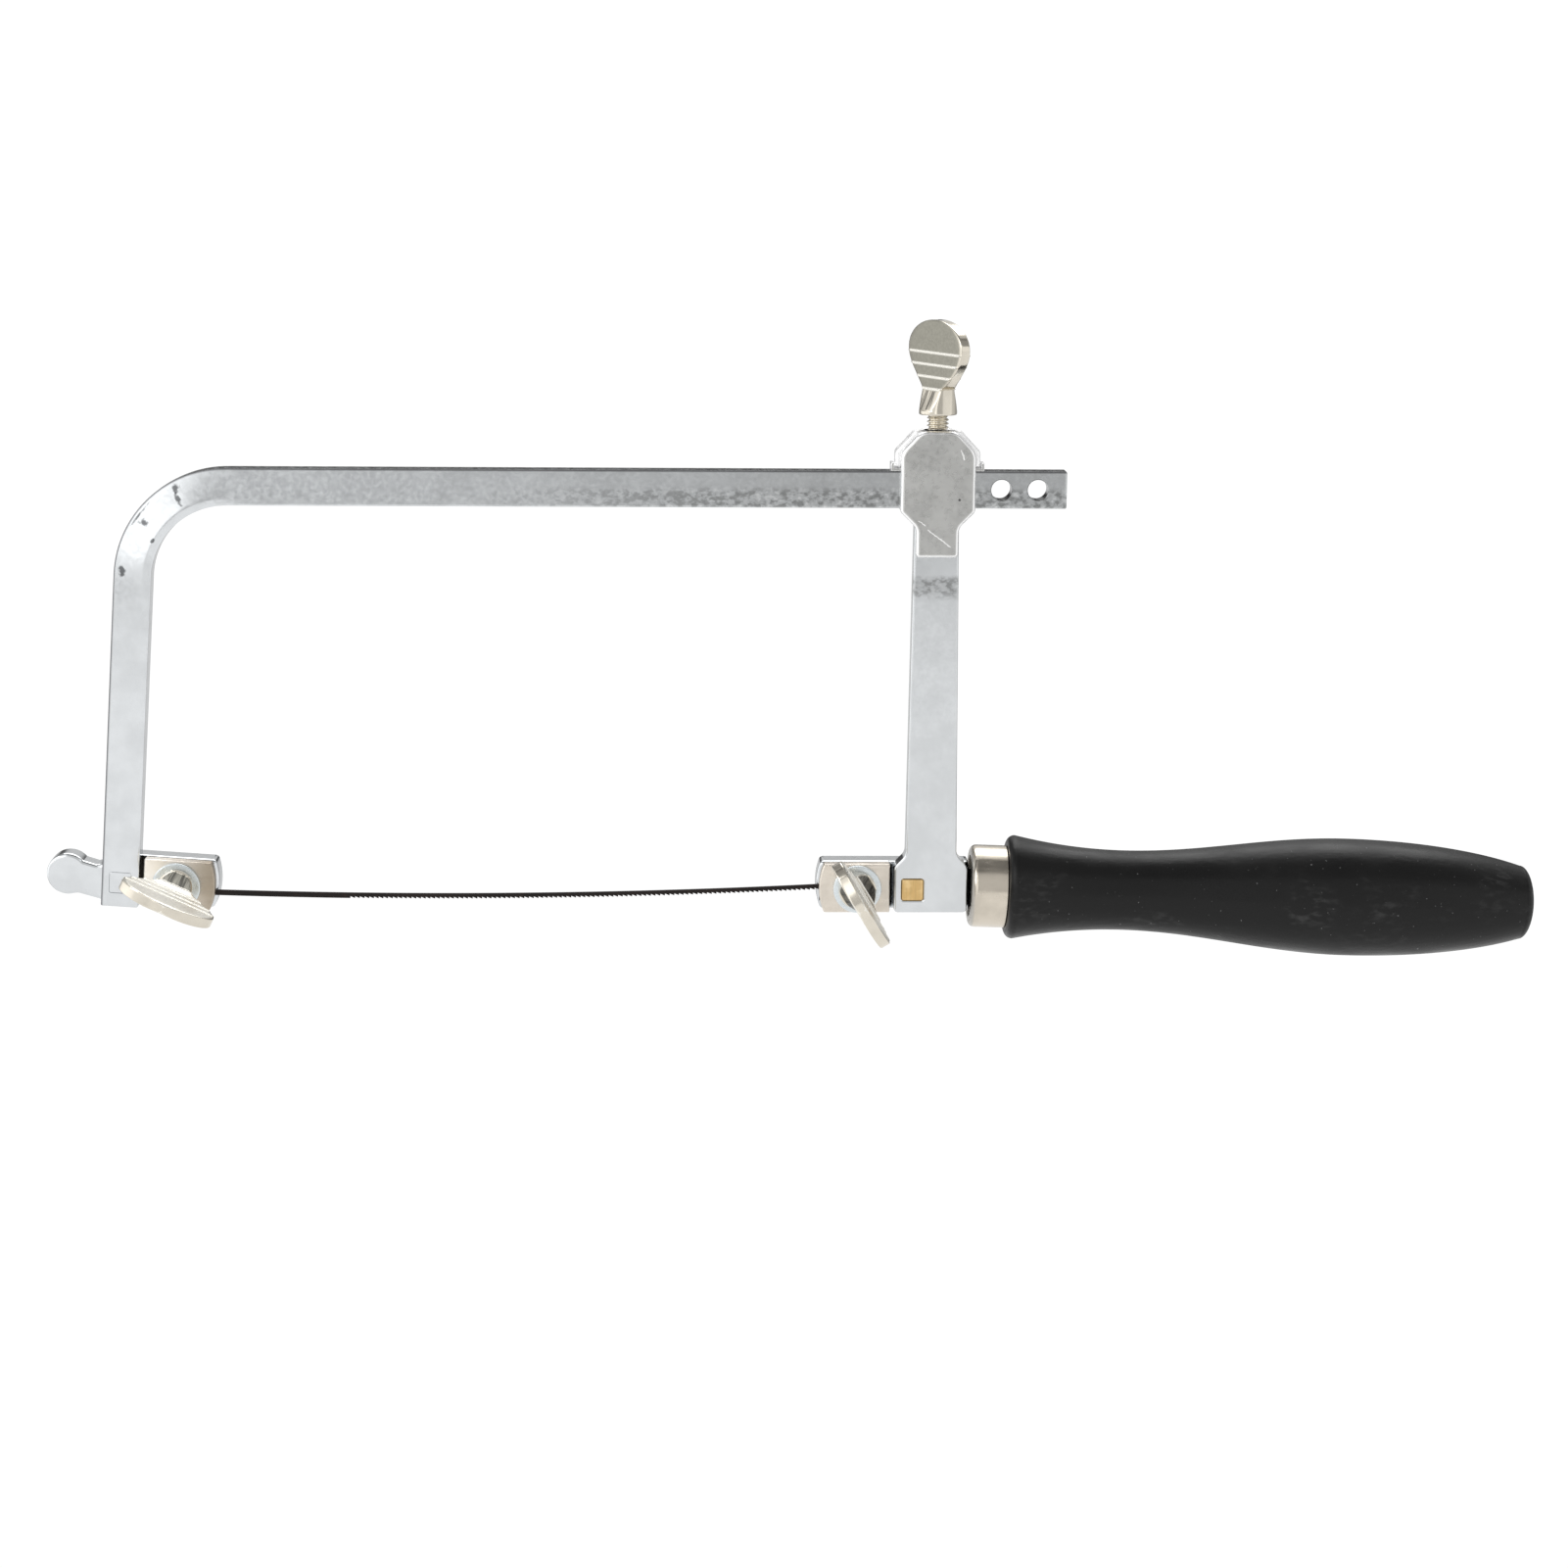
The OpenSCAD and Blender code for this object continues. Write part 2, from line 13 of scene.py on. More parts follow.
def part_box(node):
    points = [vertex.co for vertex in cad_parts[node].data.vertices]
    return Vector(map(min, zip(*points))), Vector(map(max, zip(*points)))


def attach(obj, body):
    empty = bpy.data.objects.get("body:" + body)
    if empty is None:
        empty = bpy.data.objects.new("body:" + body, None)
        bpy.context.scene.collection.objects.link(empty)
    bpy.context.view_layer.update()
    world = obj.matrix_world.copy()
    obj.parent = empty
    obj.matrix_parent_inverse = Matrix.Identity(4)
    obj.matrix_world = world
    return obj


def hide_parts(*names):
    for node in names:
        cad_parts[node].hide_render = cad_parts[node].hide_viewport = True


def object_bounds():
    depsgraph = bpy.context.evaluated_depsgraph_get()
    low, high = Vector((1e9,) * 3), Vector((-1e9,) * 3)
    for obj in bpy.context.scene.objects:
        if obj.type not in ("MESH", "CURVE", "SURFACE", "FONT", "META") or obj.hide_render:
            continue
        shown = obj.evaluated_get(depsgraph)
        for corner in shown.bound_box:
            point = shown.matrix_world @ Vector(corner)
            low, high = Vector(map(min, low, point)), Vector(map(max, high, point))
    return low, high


bl_info = {
    "name": "Adjustable Fret Saw",
    "version": (1, 0, 0),
    "blender": (4, 5, 0),
    "location": "3D View > Sidebar > Fret Saw",
    "description": "Builds the visible pieces and finishes of an adjustable fret saw",
    "category": "Object",
}

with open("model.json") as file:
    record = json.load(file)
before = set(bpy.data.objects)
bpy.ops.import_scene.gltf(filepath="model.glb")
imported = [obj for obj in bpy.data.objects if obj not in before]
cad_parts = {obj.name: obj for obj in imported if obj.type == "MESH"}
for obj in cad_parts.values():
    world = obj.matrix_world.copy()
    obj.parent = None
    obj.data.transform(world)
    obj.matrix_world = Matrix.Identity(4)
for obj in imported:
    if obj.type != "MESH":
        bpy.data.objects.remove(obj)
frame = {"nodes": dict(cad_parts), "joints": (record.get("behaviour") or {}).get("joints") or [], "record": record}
CAD_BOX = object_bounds()

MM = 0.001
BODY_OF = {n: b for b, nodes in frame["record"]["behaviour"]["bodies"].items() for n in nodes}
SEAT_OF = {j["name"]: Vector(j["pos_m"]) for j in frame["joints"] if j["type"] == "hinge"}

# Ridges across a spade's flats: heights above the hub's underside in mm
RIDGES = (4.7, 6.8, 9.0, 11.2)
# Painted dark reflections on the bend: degrees from the bar, radius in mm, stretch along the bend and across it
PAINTED_BEND_REFLECTIONS = (
    (28, 19.6, 0.9, 1.2),
    (30, 17.4, 0.6, 1.6),
    (52, 20.1, 3.6, 0.32),
    (54, 18.6, 0.8, 1.2),
    (61, 15.6, 0.6, 0.5),
    (84, 19.5, 1.2, 0.9),
)
# Scratches of the front cheek: start and end in X from its middle and in Z, and width, in mm
CHEEK_SCRATCHES = (
    ((4.0, 7.6), (4.7, 5.6), 0.16),
    ((-2.0, -7.0), (2.6, -10.4), 0.15),
    ((-3.6, -5.4), (-2.2, -6.4), 0.12),
)
# Dark speck of the front cheek: X from its middle and Z in mm
CHEEK_SPECK = (3.9, -1.6)


def length(text, millimetres):
    """A length property, shown in the scene's units and kept in metres."""
    return bpy.props.FloatProperty(
        name=text, description=text, default=millimetres * MM, min=0.0, unit="LENGTH", precision=5
    )


def turn(text, degrees):
    """An angle property, kept in radians."""
    return bpy.props.FloatProperty(
        name=text, description=text, default=math.radians(degrees), unit="ROTATION"
    )


def colour(text, default):
    """A colour property in linear red, green and blue."""
    return bpy.props.FloatVectorProperty(
        name=text, description=text, default=default, size=3, min=0.0, max=1.0, subtype="COLOR"
    )


class FretSawSizes(bpy.types.PropertyGroup):
    """Sizes of the pieces, as the part's source has them, and of their roundings."""

    bar_h: length("Height of the flat bar", 6.8)
    bar_t: length("Thickness of the flat bar", 4)
    bar_edge: length("Rounding of the bar's long edges", 0.13)
    bar_len: length("Straight length of the top bar", 153.2)
    bend_r: length("Radius of the bend at the bar's middle line", 17.5)
    arm_len: length("Straight length of the front arm", 62.3)
    splay: turn("Outward lean of the front arm", 4)
    bar_end: length("From the outer hang hole to the bar's rear end", 5.3)
    hole_d: length("Bore of the two hang holes", 3.8)
    hole_pitch: length("Distance between the hang holes", 6.7)
    peg_w: length("Side of the square pegs", 4)
    peg_up: length("Front peg above the front arm's foot", 4.6)
    bend_swell: length("Height of the crease round the bend", 0.18)
    bend_thin: length("Fall from the crease to the bend's outer edge", 0.46)
    bend_draw: length("Fall from the crease to the bend's inner edge", 0.15)
    hub_d: length("Diameter of a thumb screw's hub", 7)
    hub_h: length("Height of a thumb screw's hub", 4.7)
    spade_w: length("Width of a thumb screw's spade", 18)
    spade_h: length("Height of the spade above the hub", 12.5)
    spade_t: length("Thickness of the spade", 2.4)
    grip_h: length("Height of the ridges across the spade's flats", 0.14)
    thread_d: length("Outer diameter of the thread", 4)
    thread_pitch: length("Pitch of the thread", 0.7)
    thread_cut: length("Depth of the thread", 0.42)
    front_turn: turn("Turn of the front screw's spade from level", -25)
    rear_turn: turn("Turn of the rear screw's spade from level", -59)
    lock_turn: turn("Turn of the lock screw's spade from the bar", -62)
    washer_bore: length("Bore of the washers", 4.3)
    washer_round: length("Rounding of the washers' edges", 0.18)
    ferrule_at: length("From the middle of the rear arm to the ferrule", 7.8)
    ferrule_d: length("Outer diameter of the ferrule", 15.6)
    ferrule_len: length("Length of the ferrule", 6.9)
    handle_drop: length("Handle's axis below the bar at the rear arm", 75.65)
    handle_len: length("Length of the handle behind the ferrule", 100.7)
    shoulder_d: length("Diameter of the handle's front shoulder", 19.6)
    waist_d: length("Diameter of the handle's waist", 15.1)
    swell_d: length("Diameter of the handle's swell", 22.2)
    butt_d: length("Diameter of the handle's butt", 14)
    droop: turn("Droop of the handle below the bar's direction", 1.8)
    cheek_top: length("Width of the cheeks' flat top", 6.5)
    cheek_drop: length("Shoulder of the cheeks below their top", 3.85)
    cheek_round: length("Rounding of the slide head's cheeks", 0.7)
    cheek_corner: length("Rounding of the cheeks' upper corners", 2.2)
    block_round: length("Rounding of the slide head's block", 0.5)
    shoe_round: length("Rounding of the slide head's shoe", 0.12)
    foot_h: length("Straight height of the rear arm's foot", 8.8)
    foot_top: length("Height where the foot's slope meets the arm", 11)
    foot_step: length("Step from the foot's side in to the arm", 2.1)
    foot_corner: length("Rounding where the rear arm widens to its foot", 1.5)
    tab_d: length("Diameter of the front jaw's round tab", 7.8)
    tab_up: length("Middle of the tab above the front jaw's foot", 5.5)
    tab_round: length("Rounding of the front jaw's tab", 1.1)
    arm_round: length("Rounding of the rear arm's edges", 0.4)
    jaw_round: length("Rounding of the fixed jaws' edges", 0.6)
    clamp_round: length("Rounding of the clamp plates' edges", 0.25)
    peg_round: length("Rounding of the pegs' edges", 0.12)


class FretSawColours(bpy.types.PropertyGroup):
    """Colours of the finishes and of the marks on them."""

    chrome: colour("Bright plating of bow, arms and jaws", (0.70, 0.72, 0.735))
    dull: colour("Bar towards the slide", (0.30, 0.305, 0.295))
    rear: colour("Plating of bar and arm near the slide", (0.48, 0.49, 0.49))
    # painted reflection: dark flecks on the lower half of the bar and on the rear arm's stripe
    painted_reflection_fleck: colour("Dark flecks of worn plating", (0.20, 0.205, 0.20))
    # painted reflection: light flecks in the same places
    painted_bright_fleck: colour("Light flecks of worn plating", (0.85, 0.86, 0.86))
    # painted dark reflection across the rear arm
    painted_reflection_band: colour("Band across the rear arm", (0.22, 0.225, 0.22))
    # painted dark reflections on the bend
    painted_bend_reflection: colour("Stains of the bend", (0.03, 0.032, 0.035))
    # painted shade in the slot between front arm and clamp plate
    gap: colour("Grime between front arm and clamp plate", (0.02, 0.018, 0.016))
    # painted dark reflection along the bow's outer corners
    rim: colour("Outer corners of the bow", (0.08, 0.08, 0.085))
    satin: colour("Plating of the slide head", (0.505, 0.505, 0.49))
    # the block's own plating colour, and the painted highlight along the slide head's rounded edges
    bright: colour("Slide head's block and rubbed edges", (0.96, 0.96, 0.96))
    scratch: colour("Scratches of the front cheek", (0.95, 0.95, 0.94))
    nickel: colour("Plating of the clamp plates", (0.74, 0.68, 0.60))
    # painted light reflection on the front clamp plate beside the front arm
    pale: colour("Clamp plate rubbed by the front arm", (0.97, 0.93, 0.86))
    # painted dark reflection along the front clamp plate
    painted_dark_reflection: colour("Tarnished end of the clamp plate", (0.36, 0.30, 0.225))
    zinc: colour("Plating of the washers", (0.70, 0.75, 0.77))
    screw: colour("Plating of the thumb screws", (0.70, 0.655, 0.565))
    screw_flat: colour("Dull flats of the lock screw", (0.305, 0.295, 0.25))
    clamp_flat: colour("Flats of the clamp screws", (0.90, 0.87, 0.79))
    # painted dark reflection on the clamp screws' flats near the hub
    neck: colour("Flats of the clamp screws near the hub", (0.15, 0.145, 0.125))
    # painted highlight on the spades' ridges
    ridge_highlight: colour("Rubbed ridges of the spades", (0.97, 0.95, 0.89))
    ferrule: colour("Plating of the ferrule", (0.63, 0.575, 0.49))
    mouth: colour("Dull face of the ferrule's mouth", (0.42, 0.40, 0.36))
    brass: colour("Square peg in the rear foot", (0.70, 0.475, 0.205))
    brass_lit: colour("Bright places of the brass", (0.80, 0.58, 0.29))
    lacquer: colour("Black lacquer of the handle", (0.009, 0.009, 0.009))
    dust: colour("Specks and rubbed places on the lacquer", (0.16, 0.16, 0.16))
    blade: colour("Dark tempered blade", (0.012, 0.007, 0.006))
    temper: colour("Brown flecks of the blade", (0.032, 0.017, 0.011))
    grime: colour("Dark specks in the plating", (0.08, 0.08, 0.08))


def sizes():
    return bpy.context.scene.fret_saw_sizes


def colours():
    return bpy.context.scene.fret_saw_colours


# Meshes


def put_object(name, data):
    """A new object in the scene, at the origin: a piece has its place in its mesh."""
    obj = bpy.data.objects.new(name, data)
    bpy.context.scene.collection.objects.link(obj)
    return obj


def points_of(*coordinates):
    """Points from their coordinates, which are spread to one shape."""
    return np.stack(np.broadcast_arrays(*coordinates), axis=-1)


def skin(name, rows, ring=False, sharp=40):
    """A closed skin over an array of rows of points: each row is closed on itself and joined to
    the next one. A ring joins its last row to its first; otherwise each end row is closed by
    triangles to its own middle. The sign of the enclosed volume turns the faces outwards."""
    count, cols = rows.shape[:2]
    index = np.arange(count * cols).reshape(count, cols)
    beside = np.roll(index, -1, axis=1)
    last = count if ring else count - 1
    above = np.roll(index, -1, axis=0)
    above_beside = np.roll(beside, -1, axis=0)
    quads = np.stack([index, beside, above_beside, above], axis=-1)[:last].reshape(-1, 4)
    points = rows.reshape(-1, 3)
    fans = np.zeros((0, 3), int)
    if not ring:
        points = np.vstack([points, rows[0].mean(axis=0), rows[-1].mean(axis=0)])
        foot = np.full(cols, count * cols)
        fans = np.vstack(
            [
                np.stack([foot, beside[0], index[0]], axis=-1),
                np.stack([foot + 1, index[-1], beside[-1]], axis=-1),
            ]
        )
    triangles = np.vstack([quads[:, [0, 1, 2]], quads[:, [0, 2, 3]], fans])
    corner = points[triangles]
    volume = np.einsum("ij,ij->i", corner[:, 0], np.cross(corner[:, 1], corner[:, 2])).sum()
    if volume < 0:
        quads, fans = quads[:, ::-1], fans[:, ::-1]
    mesh = bpy.data.meshes.new(name)
    mesh.vertices.add(len(points))
    mesh.vertices.foreach_set("co", points.astype(np.float32).ravel())
    mesh.loops.add(quads.size + fans.size)
    mesh.loops.foreach_set("vertex_index", np.concatenate([quads.ravel(), fans.ravel()]))
    mesh.polygons.add(len(quads) + len(fans))
    totals = np.concatenate([np.full(len(quads), 4), np.full(len(fans), 3)])
    mesh.polygons.foreach_set("loop_start", np.concatenate([[0], np.cumsum(totals)[:-1]]))
    mesh.update(calc_edges=True)
    smooth(mesh, sharp)
    return mesh


def smooth(mesh, sharp):
    """Shades a mesh smooth, but for edges sharper than the angle."""
    mesh.polygons.foreach_set("use_smooth", np.ones(len(mesh.polygons), bool))
    mesh.set_sharp_from_angle(angle=math.radians(sharp))
    mesh.update()


def mark_points(mesh, name, values):
    """Keeps one value for each point in an attribute that a finish reads."""
    layer = mesh.attributes.new(name, "FLOAT", "POINT")
    layer.data.foreach_set("value", np.asarray(values, np.float32))


def placed(points, matrix):
    """Local points carried to their place by a matrix."""
    return points @ np.array(matrix.to_3x3()).T + np.array(matrix.translation)


def revolved(profile, matrix, steps=96):
    """A profile of radius and distance turned about the local X axis: each profile point becomes
    a circle of its radius at its distance."""
    angle = np.linspace(0, 2 * math.pi, steps, endpoint=False)
    radius, along = profile[:, 0:1], profile[:, 1:2]
    return placed(points_of(along, radius * np.cos(angle), radius * np.sin(angle)), matrix)


def arc(centre, radius, first, last, steps):
    """Points on an arc about a centre, from the first to the last angle in degrees."""
    angle = np.radians(np.linspace(first, last, steps))
    return np.array(centre) + radius * points_of(np.cos(angle), np.sin(angle))


def rounded_rectangle(half_w, half_h, radius, steps=7, fill=9):
    """Closed outline of a rectangle with round corners, the flats between them subdivided."""
    corners = [
        arc((x * (half_w - radius), y * (half_h - radius)), radius, a, a + 90, steps)
        for x, y, a in ((1, 1, 0), (-1, 1, 90), (-1, -1, 180), (1, -1, 270))
    ]
    share = np.linspace(0, 1, fill + 2)[1:-1, None]
    runs = [
        np.vstack([c, c[-1] + share * (n[0] - c[-1])])
        for c, n in zip(corners, corners[1:] + corners[:1])
    ]
    return np.vstack(runs)


def smoothstep(value, low, high):
    """Rises from 0 at low to 1 at high with level ends."""
    t = np.clip((value - low) / (high - low), 0, 1)
    return t * t * (3 - 2 * t)


@contextmanager
def reworked(mesh, source=None):
    """A mesh, or another one that it starts from, opened for work and written back to it."""
    work = bmesh.new()
    work.from_mesh(source or mesh)
    yield work
    work.to_mesh(mesh)
    work.free()


def merged_copy(node, name):
    """The CAD node's own surface with its loose triangles merged into whole flat faces."""
    mesh = bpy.data.meshes.new(name)
    with reworked(mesh, frame["nodes"][node].data) as work:
        bmesh.ops.remove_doubles(work, verts=work.verts, dist=0.0005 * MM)
        bmesh.ops.dissolve_limit(
            work, angle_limit=math.radians(0.5), verts=work.verts, edges=work.edges
        )
    for stale in ("custom_normal", "sharp_edge", "sharp_face"):
        if stale in mesh.attributes:
            mesh.attributes.remove(mesh.attributes[stale])
    return mesh


def cut_level(mesh, level):
    """Cuts the flat faces round a hole level with it, in place of the edges that join the hole to
    the corners, so that the corners roll over cleanly."""
    with reworked(mesh) as work:
        everything = work.verts[:] + work.edges[:] + work.faces[:]
        bmesh.ops.bisect_plane(
            work, geom=everything, dist=0.0001 * MM, plane_co=(0, 0, level), plane_no=(0, 0, 1)
        )
        joins = [
            e
            for e in work.edges
            if e.calc_face_angle(1.0) < 0.001
            and max(abs(v.co.z - level) for v in e.verts) > 0.001 * MM
        ]
        bmesh.ops.dissolve_edges(work, edges=joins, use_verts=False)


def round_piece(node, material, rounding, segments=3, first=None, first_r=0.0, level=None):
    """Puts a merged copy in a CAD node's place, its sharp edges rolled over by a bevel. Edges that
    the first test picks are rounded before, to a width of their own, and a level is that of a
    hole where the flat faces are cut."""
    name = node + "_plated"
    mesh = merged_copy(node, name)
    if level is not None:
        cut_level(mesh, level)
    if first is not None:
        with reworked(mesh) as work:
            picked = [e for e in work.edges if e.calc_face_angle(0.0) > 0.5 and first(e)]
            rolled = {"segments": 6, "profile": 0.5, "affect": "EDGES"}
            bmesh.ops.bevel(work, geom=picked, offset=first_r, offset_type="WIDTH", **rolled)
    smooth(mesh, 30)
    obj = put_object(name, mesh)
    bevel = obj.modifiers.new("round edges", "BEVEL")
    bevel.limit_method = "ANGLE"
    bevel.angle_limit = math.radians(32)
    bevel.width = rounding
    bevel.segments = segments
    bevel.use_clamp_overlap = False
    flat = obj.modifiers.new("flat faces", "WEIGHTED_NORMAL")
    flat.weight = 100
    flat.keep_sharp = True
    dress(obj, node, material)


def corners_at(node, *places):
    """A test for a node's edges along Y that stand at one of the places, which are given in X from
    the node's middle, to either side of it, and in Z."""
    low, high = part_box(node)
    right = np.array(places)
    spots = np.vstack([right, right * [-1, 1]]) + [(low.x + high.x) / 2, 0]

    def test(edge):
        one, other = (v.co for v in edge.verts)
        away = np.hypot(*(spots - [one.x, one.z]).T).min()
        return abs(one.y - other.y) > MM and away < 0.05 * MM

    return test


def dress(obj, node, material):
    """Gives a piece its finish, and puts it in its CAD node's place on that node's body."""
    obj.data.materials.clear()
    obj.data.materials.append(material)
    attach(obj, BODY_OF[node])
    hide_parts(node)


# Finishes


class Nodes:
    """A node tree and the ways to add to it."""

    def __init__(self, tree):
        self.tree = tree

    def add(self, kind, sockets=None, **settings):
        node = self.tree.nodes.new(kind)
        for key, value in settings.items():
            setattr(node, key, value)
        for key, value in (sockets or {}).items():
            self.feed(node.inputs[key], value)
        return node

    def feed(self, socket, value):
        if isinstance(value, bpy.types.NodeSocket):
            self.tree.links.new(value, socket)
        else:
            socket.default_value = value

    def math(self, operation, *values):
        return self.add("ShaderNodeMath", dict(enumerate(values)), operation=operation).outputs[0]

    def times(self, product, *values):
        """The product of several values."""
        for value in values:
            product = self.math("MULTIPLY", product, value)
        return product

    def ramp(self, value, stops):
        """A ramp of greys over a value from 0 to 1."""
        node = self.add("ShaderNodeValToRGB", {0: value})
        elements = node.color_ramp.elements
        elements[0].position, elements[1].position = stops[0][0], stops[-1][0]
        for place, _ in stops[1:-1]:
            elements.new(place)
        for element, (_, grey) in zip(elements, stops):
            element.color = (grey, grey, grey, 1)
        return node.outputs[0]


class Finish(Nodes):
    """One procedural finish: a shader and the nodes that feed it, all on Object coordinates. Its
    tone is the colour so far, and its normal the surface so far."""

    def __init__(self, name, metallic, roughness, base):
        self.material = bpy.data.materials.new(name)
        self.material.use_nodes = True
        super().__init__(self.material.node_tree)
        self.shader = self.tree.nodes["Principled BSDF"]
        self.set("Metallic", metallic)
        self.set("Roughness", roughness)
        self.set("Base Color", (*base, 1))
        self.coords = self.add("ShaderNodeTexCoord").outputs["Object"]
        self.tone = base
        self.normal = None

    def set(self, name, value):
        self.feed(self.shader.inputs[name], value)

    def vector(self, operation, *values):
        node = self.add("ShaderNodeVectorMath", dict(enumerate(values)), operation=operation)
        return node.outputs["Value" if operation == "LENGTH" else "Vector"]

    def moved(self, centre, stretch=(1, 1, 1), spin=(0, 0, 0)):
        """Object coordinates about a centre, turned and then stretched."""
        turned = self.add(
            "ShaderNodeVectorRotate",
            {"Vector": self.vector("SUBTRACT", self.coords, tuple(centre)), "Rotation": spin},
            rotation_type="EULER_XYZ",
        )
        return self.vector("MULTIPLY", turned.outputs[0], stretch)

    def parts(self, place=None):
        """The three coordinates of a place, or of the object."""
        place = self.coords if place is None else place
        return self.add("ShaderNodeSeparateXYZ", {0: place}).outputs

    def mark(self, name):
        """A value that the mesh keeps for each point."""
        return self.add("ShaderNodeAttribute", attribute_name=name).outputs["Fac"]

    def noise(self, size, detail=2.0, stretch=(1, 1, 1), warp=0.0, place=None):
        """Soft noise from 0 to 1 with features of about the size given, in millimetres."""
        if place is None:
            place = self.coords if stretch == (1, 1, 1) else self.moved((0, 0, 0), stretch)
        sockets = {"Vector": place, "Scale": 1 / (size * MM), "Detail": detail, "Distortion": warp}
        return self.add("ShaderNodeTexNoise", sockets).outputs["Fac"]

    def rise(self, value, low, high, to_low=0.0, to_high=1.0):
        """A smooth step of a value from low to high."""
        limits = {"From Min": low, "From Max": high, "To Min": to_low, "To Max": to_high}
        sockets = {"Value": value, **limits}
        node = self.add("ShaderNodeMapRange", sockets, interpolation_type="SMOOTHSTEP")
        return node.outputs["Result"]

    def step(self, value, low, high, to_low=0.0, to_high=1.0):
        """A smooth step of a length between two places in millimetres."""
        return self.rise(value, low * MM, high * MM, to_low, to_high)

    def between(self, value, low, low_full, high_full, high):
        """A length's step up and its step down again, at places in millimetres."""
        return self.times(self.step(value, low, low_full), self.step(value, high, high_full))

    def mix(self, share, a, b):
        """One colour over another."""
        node = self.add("ShaderNodeMix", {0: share}, data_type="RGBA")
        for socket, paint in ((6, a), (7, b)):
            is_node = isinstance(paint, bpy.types.NodeSocket)
            self.feed(node.inputs[socket], paint if is_node else (*paint, 1))
        return node.outputs[2]

    def over(self, paint, *shares):
        """Lays a colour over the tone, as far as the product of the shares."""
        self.tone = self.mix(self.times(*shares), self.tone, paint)
        self.set("Base Color", self.tone)

    def raised(self, height, depth, strength=1.0):
        """Raises the surface by a height from 0 to 1 over a depth in millimetres."""
        sockets = {"Height": height, "Distance": depth * MM, "Strength": strength}
        if self.normal is not None:
            sockets["Normal"] = self.normal
        self.normal = self.add("ShaderNodeBump", sockets).outputs["Normal"]
        self.set("Normal", self.normal)

    def edges(self):
        """A mask of the rounded edges, where a painted highlight goes: where the surface turns away from front and
        back.
        """
        facing = self.parts(self.add("ShaderNodeTexCoord").outputs["Normal"])[1]
        return self.rise(self.math("ABSOLUTE", facing), 0.985, 0.88)

    def scratch(self, start, end, width):
        """A mask of one straight scratch between two points in X and Z, ragged along its run."""
        run, middle = end - start, (start + end) / 2
        place = self.moved((middle.x, 0, middle.y), spin=(0, math.atan2(run.y, run.x), 0))
        along, _, across = self.parts(place)
        ragged = self.math("SUBTRACT", self.noise(0.6), 0.5)
        across = self.math("ADD", across, self.times(ragged, width * 3))
        half = run.length / 2
        line = self.rise(self.math("ABSOLUTE", across), width, 0.3 * width)
        return self.times(line, self.rise(self.math("ABSOLUTE", along), half, 0.85 * half))


def shade(base, share):
    """A colour made darker or lighter by a share."""
    return tuple(min(1.0, c * share) for c in base)


def plating(name, base, roughness, mottle=0.03, grain=(1, 1, 1)):
    """Bright or satin plating: cloudy shine, faint brushing, a few dark pinholes and a surface
    that is not quite flat."""
    finish = Finish(name, 1.0, roughness, base)
    cloud = finish.noise(5, 3.0)
    fine = finish.noise(0.9, 3.0, grain, 0.4)
    pin = finish.rise(finish.noise(0.9, 1.0), 0.86, 0.88)
    finish.tone = shade(base, 1 - 2.2 * mottle)
    finish.over(shade(base, 1 + mottle), finish.rise(cloud, 0.3, 0.7))
    finish.over(base, finish.rise(fine, 0.45, 0.75), 0.35)
    finish.over(colours().grime, pin, 0.55)
    finish.set("Roughness", finish.rise(fine, 0.25, 0.8, roughness * 0.75, roughness * 1.45))
    finish.raised(cloud, 0.02, 0.4)
    finish.raised(fine, 0.004, 0.4)
    return finish


